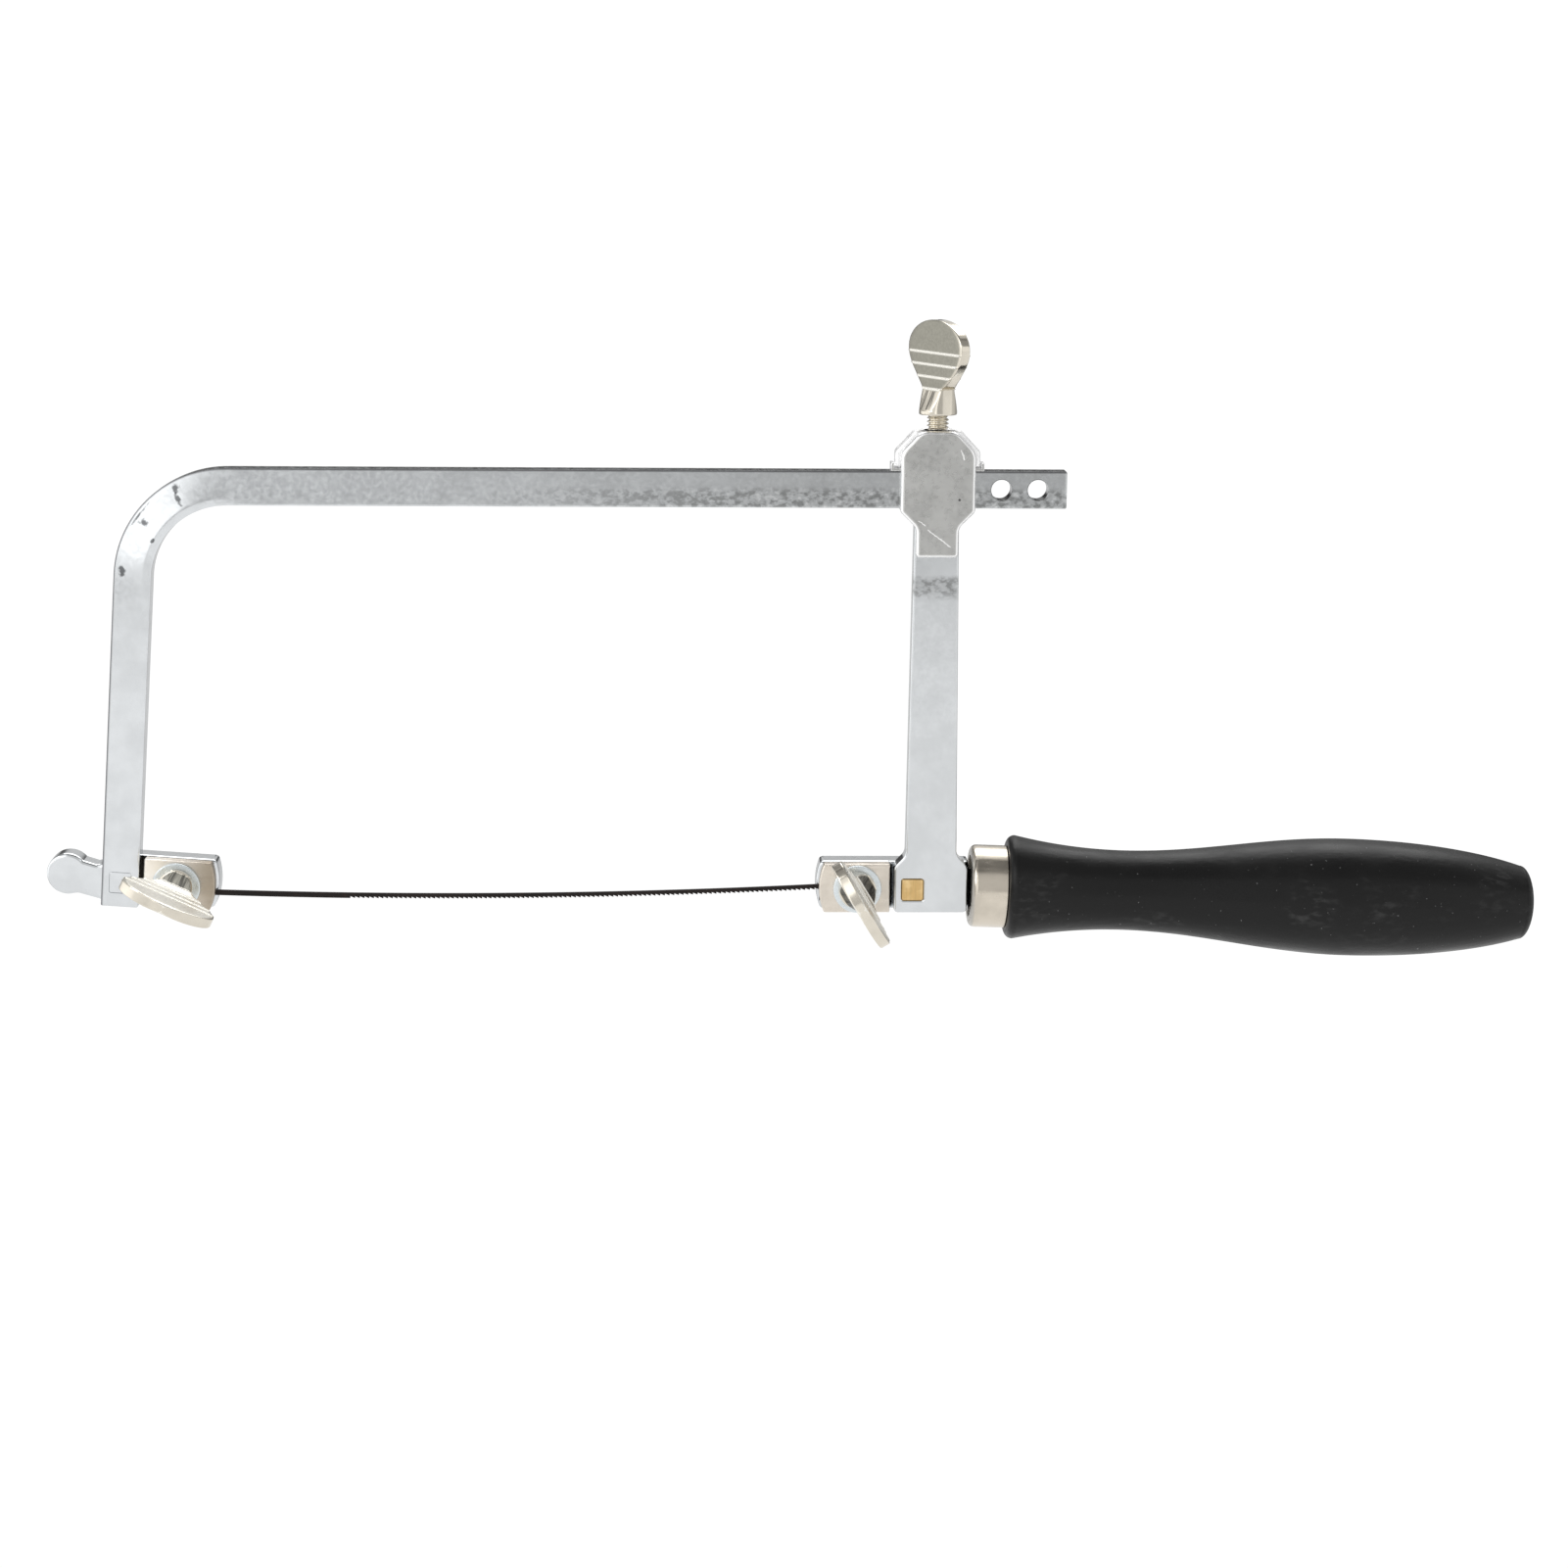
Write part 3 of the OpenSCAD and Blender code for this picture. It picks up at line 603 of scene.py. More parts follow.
def chrome_finish():
    """Bow, arms and jaws: bright chrome, duller along the bar towards the slide. The lower half of
    the bar and a stripe across the rear arm carry painted reflections, flecked light and dark, the
    bend has a few painted dark reflections, painted shade fills the slot between front arm and
    clamp plate, and a painted dark reflection runs along the bow's outer corners."""
    tint, size = colours(), sizes()
    finish = plating("bow_chrome", tint.chrome, 0.15)
    along, deep, height = finish.parts()
    on_bar = finish.step(height, -4.4, -3.5)
    finish.over(tint.dull, on_bar, finish.step(along, -140, -20), 0.38)
    finish.over(tint.rear, finish.step(along, -70, -40, 0.0, 0.22))
    # Painted reflections, laid as colour: light and dark flecks over the lower half of the bar, and a darker
    # flecked stripe across the rear arm; the worn mask is where they go
    bar = finish.between(height, -3.5, -3.1, -0.9, 0.9)
    bar = finish.times(bar, finish.step(along, -110, -45, 0.15, 1.0))
    painted_reflection_band = finish.between(height, -21, -18, -17, -15.5)
    painted_reflection_band = finish.times(painted_reflection_band, finish.step(along, -60, -50))
    worn = finish.math("ADD", bar, painted_reflection_band)
    painted_reflection_fleck = finish.noise(0.8, 4.0, (0.7, 1, 1))
    finish.over(tint.painted_reflection_fleck, worn, finish.rise(painted_reflection_fleck, 0.44, 0.62), 0.7)
    finish.over(tint.painted_bright_fleck, worn, finish.rise(painted_reflection_fleck, 0.43, 0.30), 0.5)
    finish.over(tint.painted_reflection_band, painted_reflection_band, 0.35)
    # Painted dark reflections on the bend, laid as ragged dark spots
    centre = Vector((size.bar_end - size.bar_len, 0, -size.bend_r))
    ragged = finish.noise(0.9, 4.0)
    for degrees, radius, wide, tall in PAINTED_BEND_REFLECTIONS:
        angle = math.radians(degrees)
        spot = centre + radius * MM * Vector((-math.sin(angle), 0, math.cos(angle)))
        place = finish.moved(spot, (1 / wide, 0.1, 1 / tall), (0, angle, 0))
        away = finish.vector("LENGTH", place)
        edge = finish.math("ADD", away, finish.times(ragged, 2.4 * MM))
        finish.over(tint.painted_bend_reflection, finish.step(edge, 2.2, 1.5), 0.8)
    # Painted shade in the slot between front arm and clamp plate
    finish.over(
        tint.gap,
        finish.between(along, -169.5, -169, -163.5, -163),
        finish.step(height, -68, -69),
        finish.between(deep, 1.3, 1.7, 2.2, 2.5),
    )
    # Painted dark reflection along the bow's outer corners
    finish.over(tint.rim, finish.mark("rim"), 0.85)
    return finish.material


def chrome():
    """The chrome of bow, arms and jaws, made once."""
    return bpy.data.materials.get("bow_chrome") or chrome_finish()


def satin_finish(name, scratched=False):
    """Slide head: flat satin grey plating with a painted highlight along its rounded edges, on the
    front cheek with a few bright scratches and one dark speck."""
    tint = colours()
    finish = plating(name, tint.satin, 0.30, 0.05)
    # Painted highlight along the rounded edges
    finish.over(tint.bright, finish.edges())
    if scratched:
        low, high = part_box("slide_front_plate")
        middle = Vector(((low.x + high.x) / 2, 0))
        cut_in = 0.0
        for start, end, width in CHEEK_SCRATCHES:
            ends = (middle + MM * Vector(place) for place in (start, end))
            line = finish.scratch(*ends, width * MM)
            finish.over(tint.scratch, line)
            cut_in = finish.math("ADD", line, cut_in)
        speck = middle + MM * Vector(CHEEK_SPECK)
        away = finish.vector("LENGTH", finish.moved((speck.x, low.y, speck.y)))
        finish.over(tint.grime, finish.step(away, 0.28, 0.16))
        finish.raised(cut_in, -0.03, 0.6)
    return finish.material


def screw_finish(name, worn, neck):
    """Thumb screws: polished nickel, with worn flats on the spade, a painted highlight on the ridges
    across them, hatching along them near the hub and there on the clamp screws a painted dark
    reflection. The mesh marks the flats, and how far each place is across the head and up it."""
    tint = colours()
    finish = plating(name, tint.screw, 0.12, 0.04)
    flat, across, up = (finish.mark(layer) for layer in ("flat", "across", "up"))
    lines = finish.add("ShaderNodeCombineXYZ", {0: across, 2: finish.times(up, 0.05)})
    strokes = finish.noise(0.42, place=lines.outputs[0])
    near_hub = finish.step(up, 4.6, 4.2)
    hatch = finish.times(finish.rise(strokes, 0.42, 0.62), near_hub)
    brushed = finish.rise(finish.noise(0.5, 3.0), 0.3, 0.7)
    dull = finish.mix(brushed, shade(worn, 0.86), worn)
    # On the clamp screws the neck colour is a painted dark reflection on the flats near the hub
    dull = finish.mix(near_hub, dull, neck)
    dull = finish.mix(hatch, dull, shade(neck, 0.3))
    # Painted highlight along the grip ridges
    ridge_highlight = 0.0
    for line in RIDGES:
        away = finish.math("ABSOLUTE", finish.math("SUBTRACT", up, line * MM))
        ridge_highlight = finish.math("ADD", finish.step(away, 0.32, 0.16), ridge_highlight)
    ridge_highlight = finish.times(ridge_highlight, flat)
    finish.over(dull, flat)
    finish.over(tint.ridge_highlight, ridge_highlight)
    shine = finish.rise(flat, 0.0, 1.0, 0.12, 0.32)
    finish.set("Roughness", finish.math("ADD", shine, finish.times(ridge_highlight, 0.3)))
    finish.raised(finish.times(hatch, flat), -0.05, 0.7)
    return finish.material


def clamp_finish():
    """Clamp plates: satin nickel, with a painted light reflection next to the front arm and a painted
    dark reflection towards the front jaw's inner end."""
    tint = colours()
    finish = plating("satin_nickel", tint.nickel, 0.36, 0.05, (0.25, 1, 1))
    along = finish.parts()[0]
    # Painted light reflection beside the front arm, then a painted dark reflection along the plate
    finish.over(tint.pale, finish.step(along, -158.5, -164), 0.85)
    finish.over(tint.painted_dark_reflection, finish.between(along, -158, -152.5, -130, -120), 0.8)
    return finish.material


def ferrule_finish(matrix, mouth):
    """Ferrule: drawn nickel, with a dull face round its mouth."""
    tint = colours()
    finish = plating("drawn_nickel", tint.ferrule, 0.2, 0.05, (0.2, 1, 1))
    along = finish.parts(finish.moved(matrix.translation))[0]
    inwards = finish.rise(along, mouth + 0.2 * MM, mouth + 0.7 * MM)
    finish.set("Metallic", inwards)
    finish.set("Base Color", finish.mix(inwards, tint.mouth, finish.tone))
    return finish.material


def brass_finish():
    """Brass peg: filed flush, with fine upright file marks."""
    tint = colours()
    finish = Finish("filed_brass", 1.0, 0.32, tint.brass)
    marks = finish.noise(0.35, 3.0, (1, 1, 0.08))
    cloud = finish.noise(1.6)
    finish.tone = shade(tint.brass, 0.8)
    finish.over(tint.brass, finish.rise(marks, 0.3, 0.7))
    finish.over(tint.brass_lit, finish.rise(cloud, 0.45, 0.75))
    finish.set("Roughness", finish.rise(marks, 0.2, 0.8, 0.26, 0.42))
    finish.raised(marks, 0.02, 0.5)
    return finish.material


def lacquer_finish(matrix):
    """Handle: black lacquer over turned wood, with faint grain and turning rings under the gloss,
    rubbed grey places and specks of dust."""
    tint = colours()
    finish = Finish("black_lacquer", 0.0, 0.34, tint.lacquer)
    grain = finish.noise(1, 5.0, place=finish.moved(matrix.translation, (0.4, 1, 1)))
    ring = finish.noise(1.5, place=finish.moved(matrix.translation, (1, 0.05, 0.05)))
    cloud = finish.noise(11, 3.0)
    specks = finish.rise(finish.noise(0.55, 1.0), 0.74, 0.80)
    rubbed = finish.rise(cloud, 0.5, 0.75)
    finish.over(tint.dust, rubbed, finish.rise(grain, 0.45, 0.7), 0.17)
    finish.over(tint.dust, specks, 0.7)
    finish.set("Roughness", finish.rise(cloud, 0.3, 0.75, 0.27, 0.44))
    finish.set("Specular IOR Level", 0.19)
    finish.raised(grain, 0.09, 0.5)
    finish.raised(ring, 0.03, 0.3)
    return finish.material


def blade_finish():
    """Blade: dark tempered steel with brown flecks."""
    tint = colours()
    finish = Finish("tempered_steel", 0.3, 0.42, tint.blade)
    finish.set("Specular IOR Level", 0.3)
    patches = finish.noise(4, 3.0, (0.5, 1, 1))
    fine = finish.noise(0.3, 2.0, (0.2, 1, 1))
    finish.tone = shade(tint.blade, 0.5)
    finish.over(tint.blade, finish.rise(patches, 0.35, 0.65))
    finish.over(tint.temper, finish.rise(fine, 0.55, 0.8))
    finish.set("Roughness", finish.rise(fine, 0.2, 0.8, 0.34, 0.52))
    finish.raised(fine, 0.02, 0.4)
    return finish.material


# Bow


def bend_frame(size):
    """The bend's full angle, its centre and the way from there to its far end, in X and Z."""
    full = math.pi / 2 - size.splay
    centre = np.array([size.bar_end - size.bar_len, -size.bend_r])
    return full, centre, np.array([-math.sin(full), math.cos(full)])


def bow_path(size):
    """Middle line of the bow from the bar's rear end, along the bar, round the bend and down the
    front arm: points, outward normals and, for each row, the share of the bend's swell and how
    far the section is drawn in at the two ends."""
    full, centre, out = bend_frame(size)
    lip = np.array([0, 0.08, 0.25]) * MM
    bar = np.concatenate([lip, np.linspace(0.6 * MM, size.bar_len, 150)])
    bend = np.linspace(0, full, 84)[1:-1]
    arm = np.concatenate([np.linspace(0, size.arm_len - 0.6 * MM, 70), size.arm_len - lip[::-1]])
    along = np.array([-out[1], out[0]])
    turned = points_of(-np.sin(bend), np.cos(bend))
    middle = np.vstack(
        [
            points_of(size.bar_end - bar, 0),
            centre + size.bend_r * turned,
            centre + size.bend_r * out + arm[:, None] * along,
        ]
    )
    normal = np.vstack([np.tile([0.0, 1.0], (len(bar), 1)), turned, np.tile(out, (len(arm), 1))])
    run = np.concatenate([bar - size.bar_len, bend * size.bend_r, full * size.bend_r + arm])
    half = full * size.bend_r / 2
    share = np.cos(np.clip((run - half) / (1.4 * half), -1, 1) * math.pi / 2) ** 2
    inset = np.zeros(len(run))
    inset[:2] = inset[-1:-3:-1] = np.array([0.25, 0.07]) * MM
    return middle, normal, share, inset


def bow_outline(size):
    """The bar's rounded section: height and depth."""
    return rounded_rectangle(size.bar_h / 2, size.bar_t / 2, size.bar_edge, 8, 22)


def bow_rows(size):
    """The bar's rounded section carried along the bow. In the bend its sides rise to a crease
    nearer the inner edge, and fall from there in a straight slope to either edge."""
    middle, normal, share, inset = bow_path(size)
    high, deep = bow_outline(size).T
    crease = -0.6
    level = high / (size.bar_h / 2)
    outer = size.bend_thin * np.clip((level - crease) / (1 - crease), 0, 1)
    inner = size.bend_draw * np.clip((crease - level) / (1 + crease), 0, 1)
    side = deep / (size.bar_t / 2)
    thick = deep + share[:, None] * (size.bend_swell - outer - inner) * side
    rise = high * (1 - inset[:, None] / (size.bar_h / 2))
    return points_of(
        middle[:, 0:1] + rise * normal[:, 0:1],
        thick * (1 - inset[:, None] / (size.bar_t / 2)),
        middle[:, 1:2] + rise * normal[:, 1:2],
    )


def bow_dark_reflection_corners(size):
    """Marks the section's two outer corners, which carry a painted dark reflection: height and depth are both
    within the rounding.
    """
    outline = bow_outline(size)
    limit = np.array([size.bar_h, size.bar_t]) / 2 - 1.02 * size.bar_edge
    return (np.abs(outline) > limit).all(axis=1) & (outline[:, 0] > 0)


def cutter(outline_of, depth, lip):
    """A tool along Y for a boolean cut: an outline for each offset, flared by a lip at both
    faces."""
    reach = (-depth - lip, -depth + lip, depth - lip, depth + lip)
    rows = [outline_of(grow) for grow in (lip * 2, 0, 0, lip * 2)]
    return np.stack([points_of(r[:, 0], y, r[:, 1]) for r, y in zip(rows, reach)])


def cut(obj, tools):
    """Cuts tools out of a piece and keeps the result as its mesh."""
    stand_ins = [
        put_object(f"{obj.name}_tool_{i}", skin(f"tool_{i}", rows)) for i, rows in enumerate(tools)
    ]
    for tool in stand_ins:
        boolean = obj.modifiers.new("cut", "BOOLEAN")
        boolean.operation = "DIFFERENCE"
        boolean.solver = "EXACT"
        boolean.object = tool
    bpy.context.view_layer.update()
    evaluated = obj.evaluated_get(bpy.context.evaluated_depsgraph_get())
    result = bpy.data.meshes.new_from_object(evaluated)
    obj.modifiers.clear()
    old, obj.data = obj.data, result
    bpy.data.meshes.remove(old)
    for tool in stand_ins:
        mesh = tool.data
        bpy.data.objects.remove(tool)
        bpy.data.meshes.remove(mesh)
    smooth(obj.data, 40)


class FRETSAW_OT_bow(bpy.types.Operator):
    """Bends the bow from its bar and bores the hang holes and the peg hole"""

    bl_idname = "fret_saw.bow"
    bl_label = "Bow"

    def execute(self, context):
        size = sizes()
        rows = bow_rows(size)
        mesh = skin("bow_bar_plated", rows)
        mark_points(mesh, "rim", np.append(np.tile(bow_dark_reflection_corners(size), len(rows)), [0, 0]))
        obj = put_object("bow_bar_plated", mesh)
        _, centre, out = bend_frame(size)
        x, z = centre + size.bend_r * out
        lean = Matrix.Translation((x, 0, z)) @ Matrix.Rotation(size.splay, 4, "Y")

        def hole(grow):
            return arc((0, 0), size.hole_d / 2 + grow, 0, 360 - 360 / 64, 64)

        def peg(grow):
            half = size.peg_w / 2 + grow * 0.2
            return rounded_rectangle(half, half, 0.4 * MM, 6, 1)

        bore = cutter(hole, size.bar_t / 2, 0.11 * MM)
        down_arm = lean @ Matrix.Translation((0, 0, size.peg_up - size.arm_len))
        peg_hole = placed(cutter(peg, size.bar_t / 2, 0.1 * MM), down_arm)
        cut(obj, [bore, bore - np.array([size.hole_pitch, 0, 0]), peg_hole])
        dress(obj, "bow_bar", chrome())
        return {"FINISHED"}


class FRETSAW_OT_jaws(bpy.types.Operator):
    """Rounds and plates the two fixed jaws"""

    bl_idname = "fret_saw.jaws"
    bl_label = "Fixed jaws"

    def execute(self, context):
        size = sizes()
        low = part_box("front_jaw")[0]
        radius = size.tab_d / 2
        middle = Vector((low.x + radius, 0, low.z + size.tab_up))

        def round_tab(edge):
            ends = [Vector((v.co.x, 0, v.co.z)) for v in edge.verts]
            level = abs(edge.verts[0].co.y - edge.verts[1].co.y) < 0.01 * MM
            return level and all(abs((e - middle).length - radius) < 0.06 * MM for e in ends)

        round_piece("front_jaw", chrome(), size.jaw_round, 4, round_tab, size.tab_round)
        round_piece("rear_jaw", chrome(), size.jaw_round, 4)
        return {"FINISHED"}


class FRETSAW_OT_pegs(bpy.types.Operator):
    """Eases the two square pegs, one plated over and one of bare brass"""

    bl_idname = "fret_saw.pegs"
    bl_label = "Pegs"

    def execute(self, context):
        round_piece("front_jaw_peg", chrome(), sizes().peg_round, 2)
        round_piece("rear_jaw_peg", brass_finish(), sizes().peg_round, 2)
        return {"FINISHED"}


class FRETSAW_OT_clamps(bpy.types.Operator):
    """Rounds the loose clamp plates and turns the washers"""

    bl_idname = "fret_saw.clamps"
    bl_label = "Clamp plates and washers"

    def execute(self, context):
        size = sizes()
        nickel = clamp_finish()
        zinc = plating("pale_zinc", colours().zinc, 0.3, 0.02).material
        for end in ("front", "rear"):
            round_piece(f"{end}_clamp_plate", nickel, size.clamp_round)
            node = f"{end}_washer"
            low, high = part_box(node)
            half_w = (high.x - low.x) / 2
            wall = (half_w - size.washer_bore / 2) / 2
            ring = rounded_rectangle(wall, (high.y - low.y) / 2, size.washer_round, 6, 4)
            ring[:, 0] += half_w - wall
            turn_y = Matrix.Translation((low + high) / 2) @ Matrix.Rotation(math.pi / 2, 4, "Z")
            mesh = skin(node + "_turned", revolved(ring, turn_y), ring=True)
            dress(put_object(node + "_turned", mesh), node, zinc)
        return {"FINISHED"}


# Thumb screws


def thread_rows(size, shank, angle):
    """Right-hand thread: at each height the radius is the crest less a trapezoid wave of the
    height minus the helix's rise at that angle; the end is chamfered and the root runs out."""
    pitch, crest = size.thread_pitch, size.thread_d / 2
    height = np.linspace(-shank, -0.02 * MM, int(shank / pitch * 12))[:, None]
    wave = np.abs(2 * np.mod(height / pitch - angle / (2 * math.pi), 1) - 1)
    groove = np.clip((wave - 0.18) / 0.64, 0, 1)
    radius = crest - size.thread_cut * groove
    chamfer = crest - 0.45 * MM + (height + shank)
    radius = np.minimum(radius, np.maximum(chamfer, 0.2 * MM))
    runout = smoothstep(height, -0.7 * MM, -0.1 * MM)
    radius = radius + (crest - 0.3 * MM - radius) * runout
    return points_of(radius * np.cos(angle), radius * np.sin(angle), height)


def grip_ridges(size, height):
    """Ridges across the flats: at each line the thickness rises by a rounded bump, the square of
    one less the square of the distance from the line."""
    lines = np.array(RIDGES) * MM
    away = np.clip((height[..., None] - lines) / (0.24 * MM), -1, 1)
    return size.grip_h * ((1 - away**2) ** 2).sum(axis=-1)


def head_rows(size, angle):
    """Spade head: at each height an oval is trimmed by the hub's circle, by the two flats and by
    the spade's own sides; a power mean of the three limits rounds the edges between them. The
    sides follow a cosine up to the widest place and an ellipse over the crown, and the flats
    come in from the hub's rim along a parabola, with ridges for the grip."""
    power = 14
    hub = size.hub_d / 2
    half, thick = size.spade_w / 2, size.spade_t / 2
    mid = size.hub_h + 0.58 * size.spade_h
    tip = 0.42 * size.spade_h
    foot = 0.9 * hub
    rim, flare_top = 0.8 * MM, 8.5 * MM
    lower = np.concatenate(
        [
            np.array([0.22, 0.4, 0.6, 0.78]) * MM,
            np.linspace(0.84 * MM, size.hub_h - 0.3 * MM, 26),
            np.linspace(size.hub_h - 0.22 * MM, size.hub_h + 0.3 * MM, 12),
            np.linspace(size.hub_h + 0.36 * MM, mid - 0.02 * MM, 118),
        ]
    )
    crown = mid + tip * np.sin(np.linspace(0, 1, 60) * math.pi / 2)
    height = np.concatenate([lower, crown])[:, None]
    share = np.clip((mid - height) / (mid - size.hub_h), 0, 1)
    egg = foot + (half - foot) * np.cos(share * math.pi / 2)
    over = np.clip((height - mid) / tip, 0, 1)
    egg = np.where(height > mid, half * np.sqrt(np.maximum(1 - over**2, 1e-6)), egg)
    on_hub = 1 - smoothstep(height, size.hub_h - 0.2 * MM, size.hub_h + 0.25 * MM)
    wide = egg + (hub - egg) * on_hub
    s = np.clip((height - rim) / (flare_top - rim), 0, 1)
    flat = thick + (0.96 * hub - thick) * (1 - s) ** 2
    flat = flat - size.grip_h + grip_ridges(size, height)
    flat = flat * np.maximum(1 - over**10, 1e-5) ** 0.1
    flat = np.where(height < rim, 1.6 * hub, flat)
    deep = np.minimum(flat, hub)
    ring = np.where(height > size.hub_h, hub + 6 * (height - size.hub_h), hub)
    side = wide * (1 + 0.6 * on_hub)
    x, y = wide * np.cos(angle), deep * np.sin(angle)
    limits = (np.hypot(x, y) / ring) ** power + (np.abs(y) / flat) ** power
    limits = limits + (np.abs(x) / side) ** power
    pull = limits ** (-1 / power)
    dull = smoothstep(np.abs(y * pull) / flat, 0.93, 0.975) * (height > rim + 0.2 * MM)
    return points_of(x * pull, y * pull, height), dull


def thumb_screw(name, size, shank, matrix):
    """Thumb screw in one skin from the thread's end to the spade's tip; the hub's underside is
    three rings between them. The flats, and the place across and up the head, are marked in
    attributes for the finish."""
    angle = np.linspace(0, 2 * math.pi, 160, endpoint=False)[None, :]
    thread = thread_rows(size, shank, angle)
    under = np.array([[2.2, 0], [3.3, 0], [3.44, 0.06]]) * MM
    radius, height = under[:, 0:1], under[:, 1:2]
    rings = points_of(radius * np.cos(angle), radius * np.sin(angle), height)
    head, dull = head_rows(size, angle)
    rows = np.concatenate([thread, rings, head])
    mesh = skin(name, placed(rows, matrix), sharp=50)
    below = np.zeros((len(thread) + len(rings)) * angle.size)
    local = np.vstack([rows.reshape(-1, 3), rows[0].mean(axis=0), rows[-1].mean(axis=0)])
    mark_points(mesh, "flat", np.concatenate([below, dull.ravel(), [0, 1]]))
    mark_points(mesh, "across", local[:, 0])
    mark_points(mesh, "up", local[:, 2])
    return mesh


class FRETSAW_OT_thumb_screws(bpy.types.Operator):
    """Forms the three spade-headed thumb screws with their threads and grip ridges"""

    bl_idname = "fret_saw.thumb_screws"
    bl_label = "Thumb screws"

    def execute(self, context):
        size, tint = sizes(), colours()
        clamp = screw_finish("polished_nickel", tint.clamp_flat, tint.neck)
        lock = screw_finish("worn_nickel", tint.screw_flat, tint.screw)
        face = Matrix.Rotation(math.pi / 2, 4, "X")
        upright = Matrix.Identity(4)
        for node, joint, stand, spin in (
            ("front_clamp_screw", "front_screw_turn", face, size.front_turn),
            ("rear_clamp_screw", "rear_screw_turn", face, size.rear_turn),
            ("slide_screw", "lock_screw_turn", upright, size.lock_turn),
        ):
            low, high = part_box(node)
            seat = SEAT_OF[joint]
            shank = seat.z - low.z if stand is upright else high.y - seat.y
            place = Matrix.Translation(seat) @ stand @ Matrix.Rotation(spin, 4, "Z")
            name = node + "_turned"
            finish = lock if stand is upright else clamp
            dress(put_object(name, thumb_screw(name, size, shank, place)), node, finish)
        return {"FINISHED"}


# Slide head, rear arm and blade


class FRETSAW_OT_slide_head(bpy.types.Operator):
    """Rounds the slide head's cheeks, block and shoe, and the rear arm"""

    bl_idname = "fret_saw.slide_head"
    bl_label = "Slide head and rear arm"

    def execute(self, context):
        size = sizes()
        front = satin_finish("slide_satin_front", scratched=True)
        plain = satin_finish("slide_satin")
        for node, finish in (("slide_front_plate", front), ("slide_back_plate", plain)):
            low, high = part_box(node)
            shoulder = ((high.x - low.x) / 2, high.z - size.cheek_drop)
            corners = corners_at(node, (size.cheek_top / 2, high.z), shoulder)
            round_piece(node, finish, size.cheek_round, 5, corners, size.cheek_corner)
        bright = plating("slide_bright", colours().bright, 0.5, 0.02).material
        round_piece("slide_block", bright, size.block_round, 4)
        round_piece("slide_shoe", plain, size.shoe_round, 2)
        low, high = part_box("rear_arm")
        half = (high.x - low.x) / 2
        neck = (half - size.foot_step, low.z + size.foot_top)
        corners = corners_at("rear_arm", (half, low.z + size.foot_h), neck)
        level = sum(b.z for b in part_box("rear_jaw_peg")) / 2
        round_piece("rear_arm", chrome(), size.arm_round, 4, corners, size.foot_corner, level)
        return {"FINISHED"}


class FRETSAW_OT_blade(bpy.types.Operator):
    """Tempers the toothed blade"""

    bl_idname = "fret_saw.blade"
    bl_label = "Blade"

    def execute(self, context):
        mesh = merged_copy("blade", "blade_tempered")
        mesh.polygons.foreach_set("use_smooth", np.zeros(len(mesh.polygons), bool))
        dress(put_object("blade_tempered", mesh), "blade", blade_finish())
        return {"FINISHED"}


# Handle


def handle_matrix(size):
    """The handle's frame: X along its drooping axis, from the middle of the rear arm."""
    low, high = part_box("ferrule")
    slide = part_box("rear_arm")
    mid_x = (slide[0].x + slide[1].x) / 2
    origin = Vector((mid_x, (low.y + high.y) / 2, -size.handle_drop))
    return Matrix.Translation(origin) @ Matrix.Rotation(size.droop, 4, "Y")


def handle_profile(size, start):
    """Turned outline as radius and distance: a bore for the tang, the spigot, a rolled shoulder, a
    cove down to the waist as a parabola, a cosine wave up to the swell, an elliptic fall to the
    butt and a rolled edge round the butt's shallow dome."""
    roll, butt_roll = 1.5 * MM, 2.4 * MM
    waist_at, swell_at = 0.22 * size.handle_len, 0.645 * size.handle_len
    butt_at = size.handle_len - butt_roll
    bore, bore_end, front = 4.45 * MM, 61 * MM - start, 8.8 * MM - start
    spigot = size.ferrule_d / 2 - 0.95 * MM
    shoulder, waist = size.shoulder_d / 2, size.waist_d / 2
    swell, butt = size.swell_d / 2, size.butt_d / 2
    t = np.linspace(0, 1, 60)[1:]
    wave = (1 - np.cos(math.pi * t)) / 2
    full = math.acos(butt / swell)
    fall = np.sin(full * t) / math.sin(full)
    quarter = t * math.pi / 2
    runs = [
        [[0.05 * MM, bore_end], [bore, bore_end - 0.6 * MM], [bore, front]],
        [[spigot - 0.3 * MM, front], [spigot, front + 0.3 * MM], [spigot, 0]],
        arc((shoulder - roll, roll), roll, -90, 0, 14),
        points_of(waist + (shoulder - waist) * (1 - t) ** 2, roll + t * (waist_at - roll)),
        points_of(waist + (swell - waist) * wave, waist_at + t * (swell_at - waist_at)),
        points_of(swell * np.cos(full * t), swell_at + (butt_at - swell_at) * fall),
        points_of(butt * np.cos(quarter) + 1e-6, butt_at + butt_roll * np.sin(quarter)),
    ]
    return np.vstack(runs) + [0, start]


def ferrule_profile(size, start):
    """Closed section of the ferrule: a thin wall, a rolled mouth and a turned-in rear edge."""
    outer, mouth = size.ferrule_d / 2, 5.8 * MM
    inner, end = outer - 0.9 * MM, start + size.ferrule_len
    roll, edge, ease = 1.1 * MM, 0.25 * MM, 0.12 * MM
    return np.vstack(
        [
            [[inner, end], [inner, start + MM], [mouth, start + MM]],
            [[mouth, start + ease], [mouth + ease, start]],
            arc((outer - roll, start + roll), roll, -90, 0, 14),
            [[outer, end - 2 * MM]],
            arc((outer - edge, end - edge), edge, 0, 90, 6),
        ]
    )


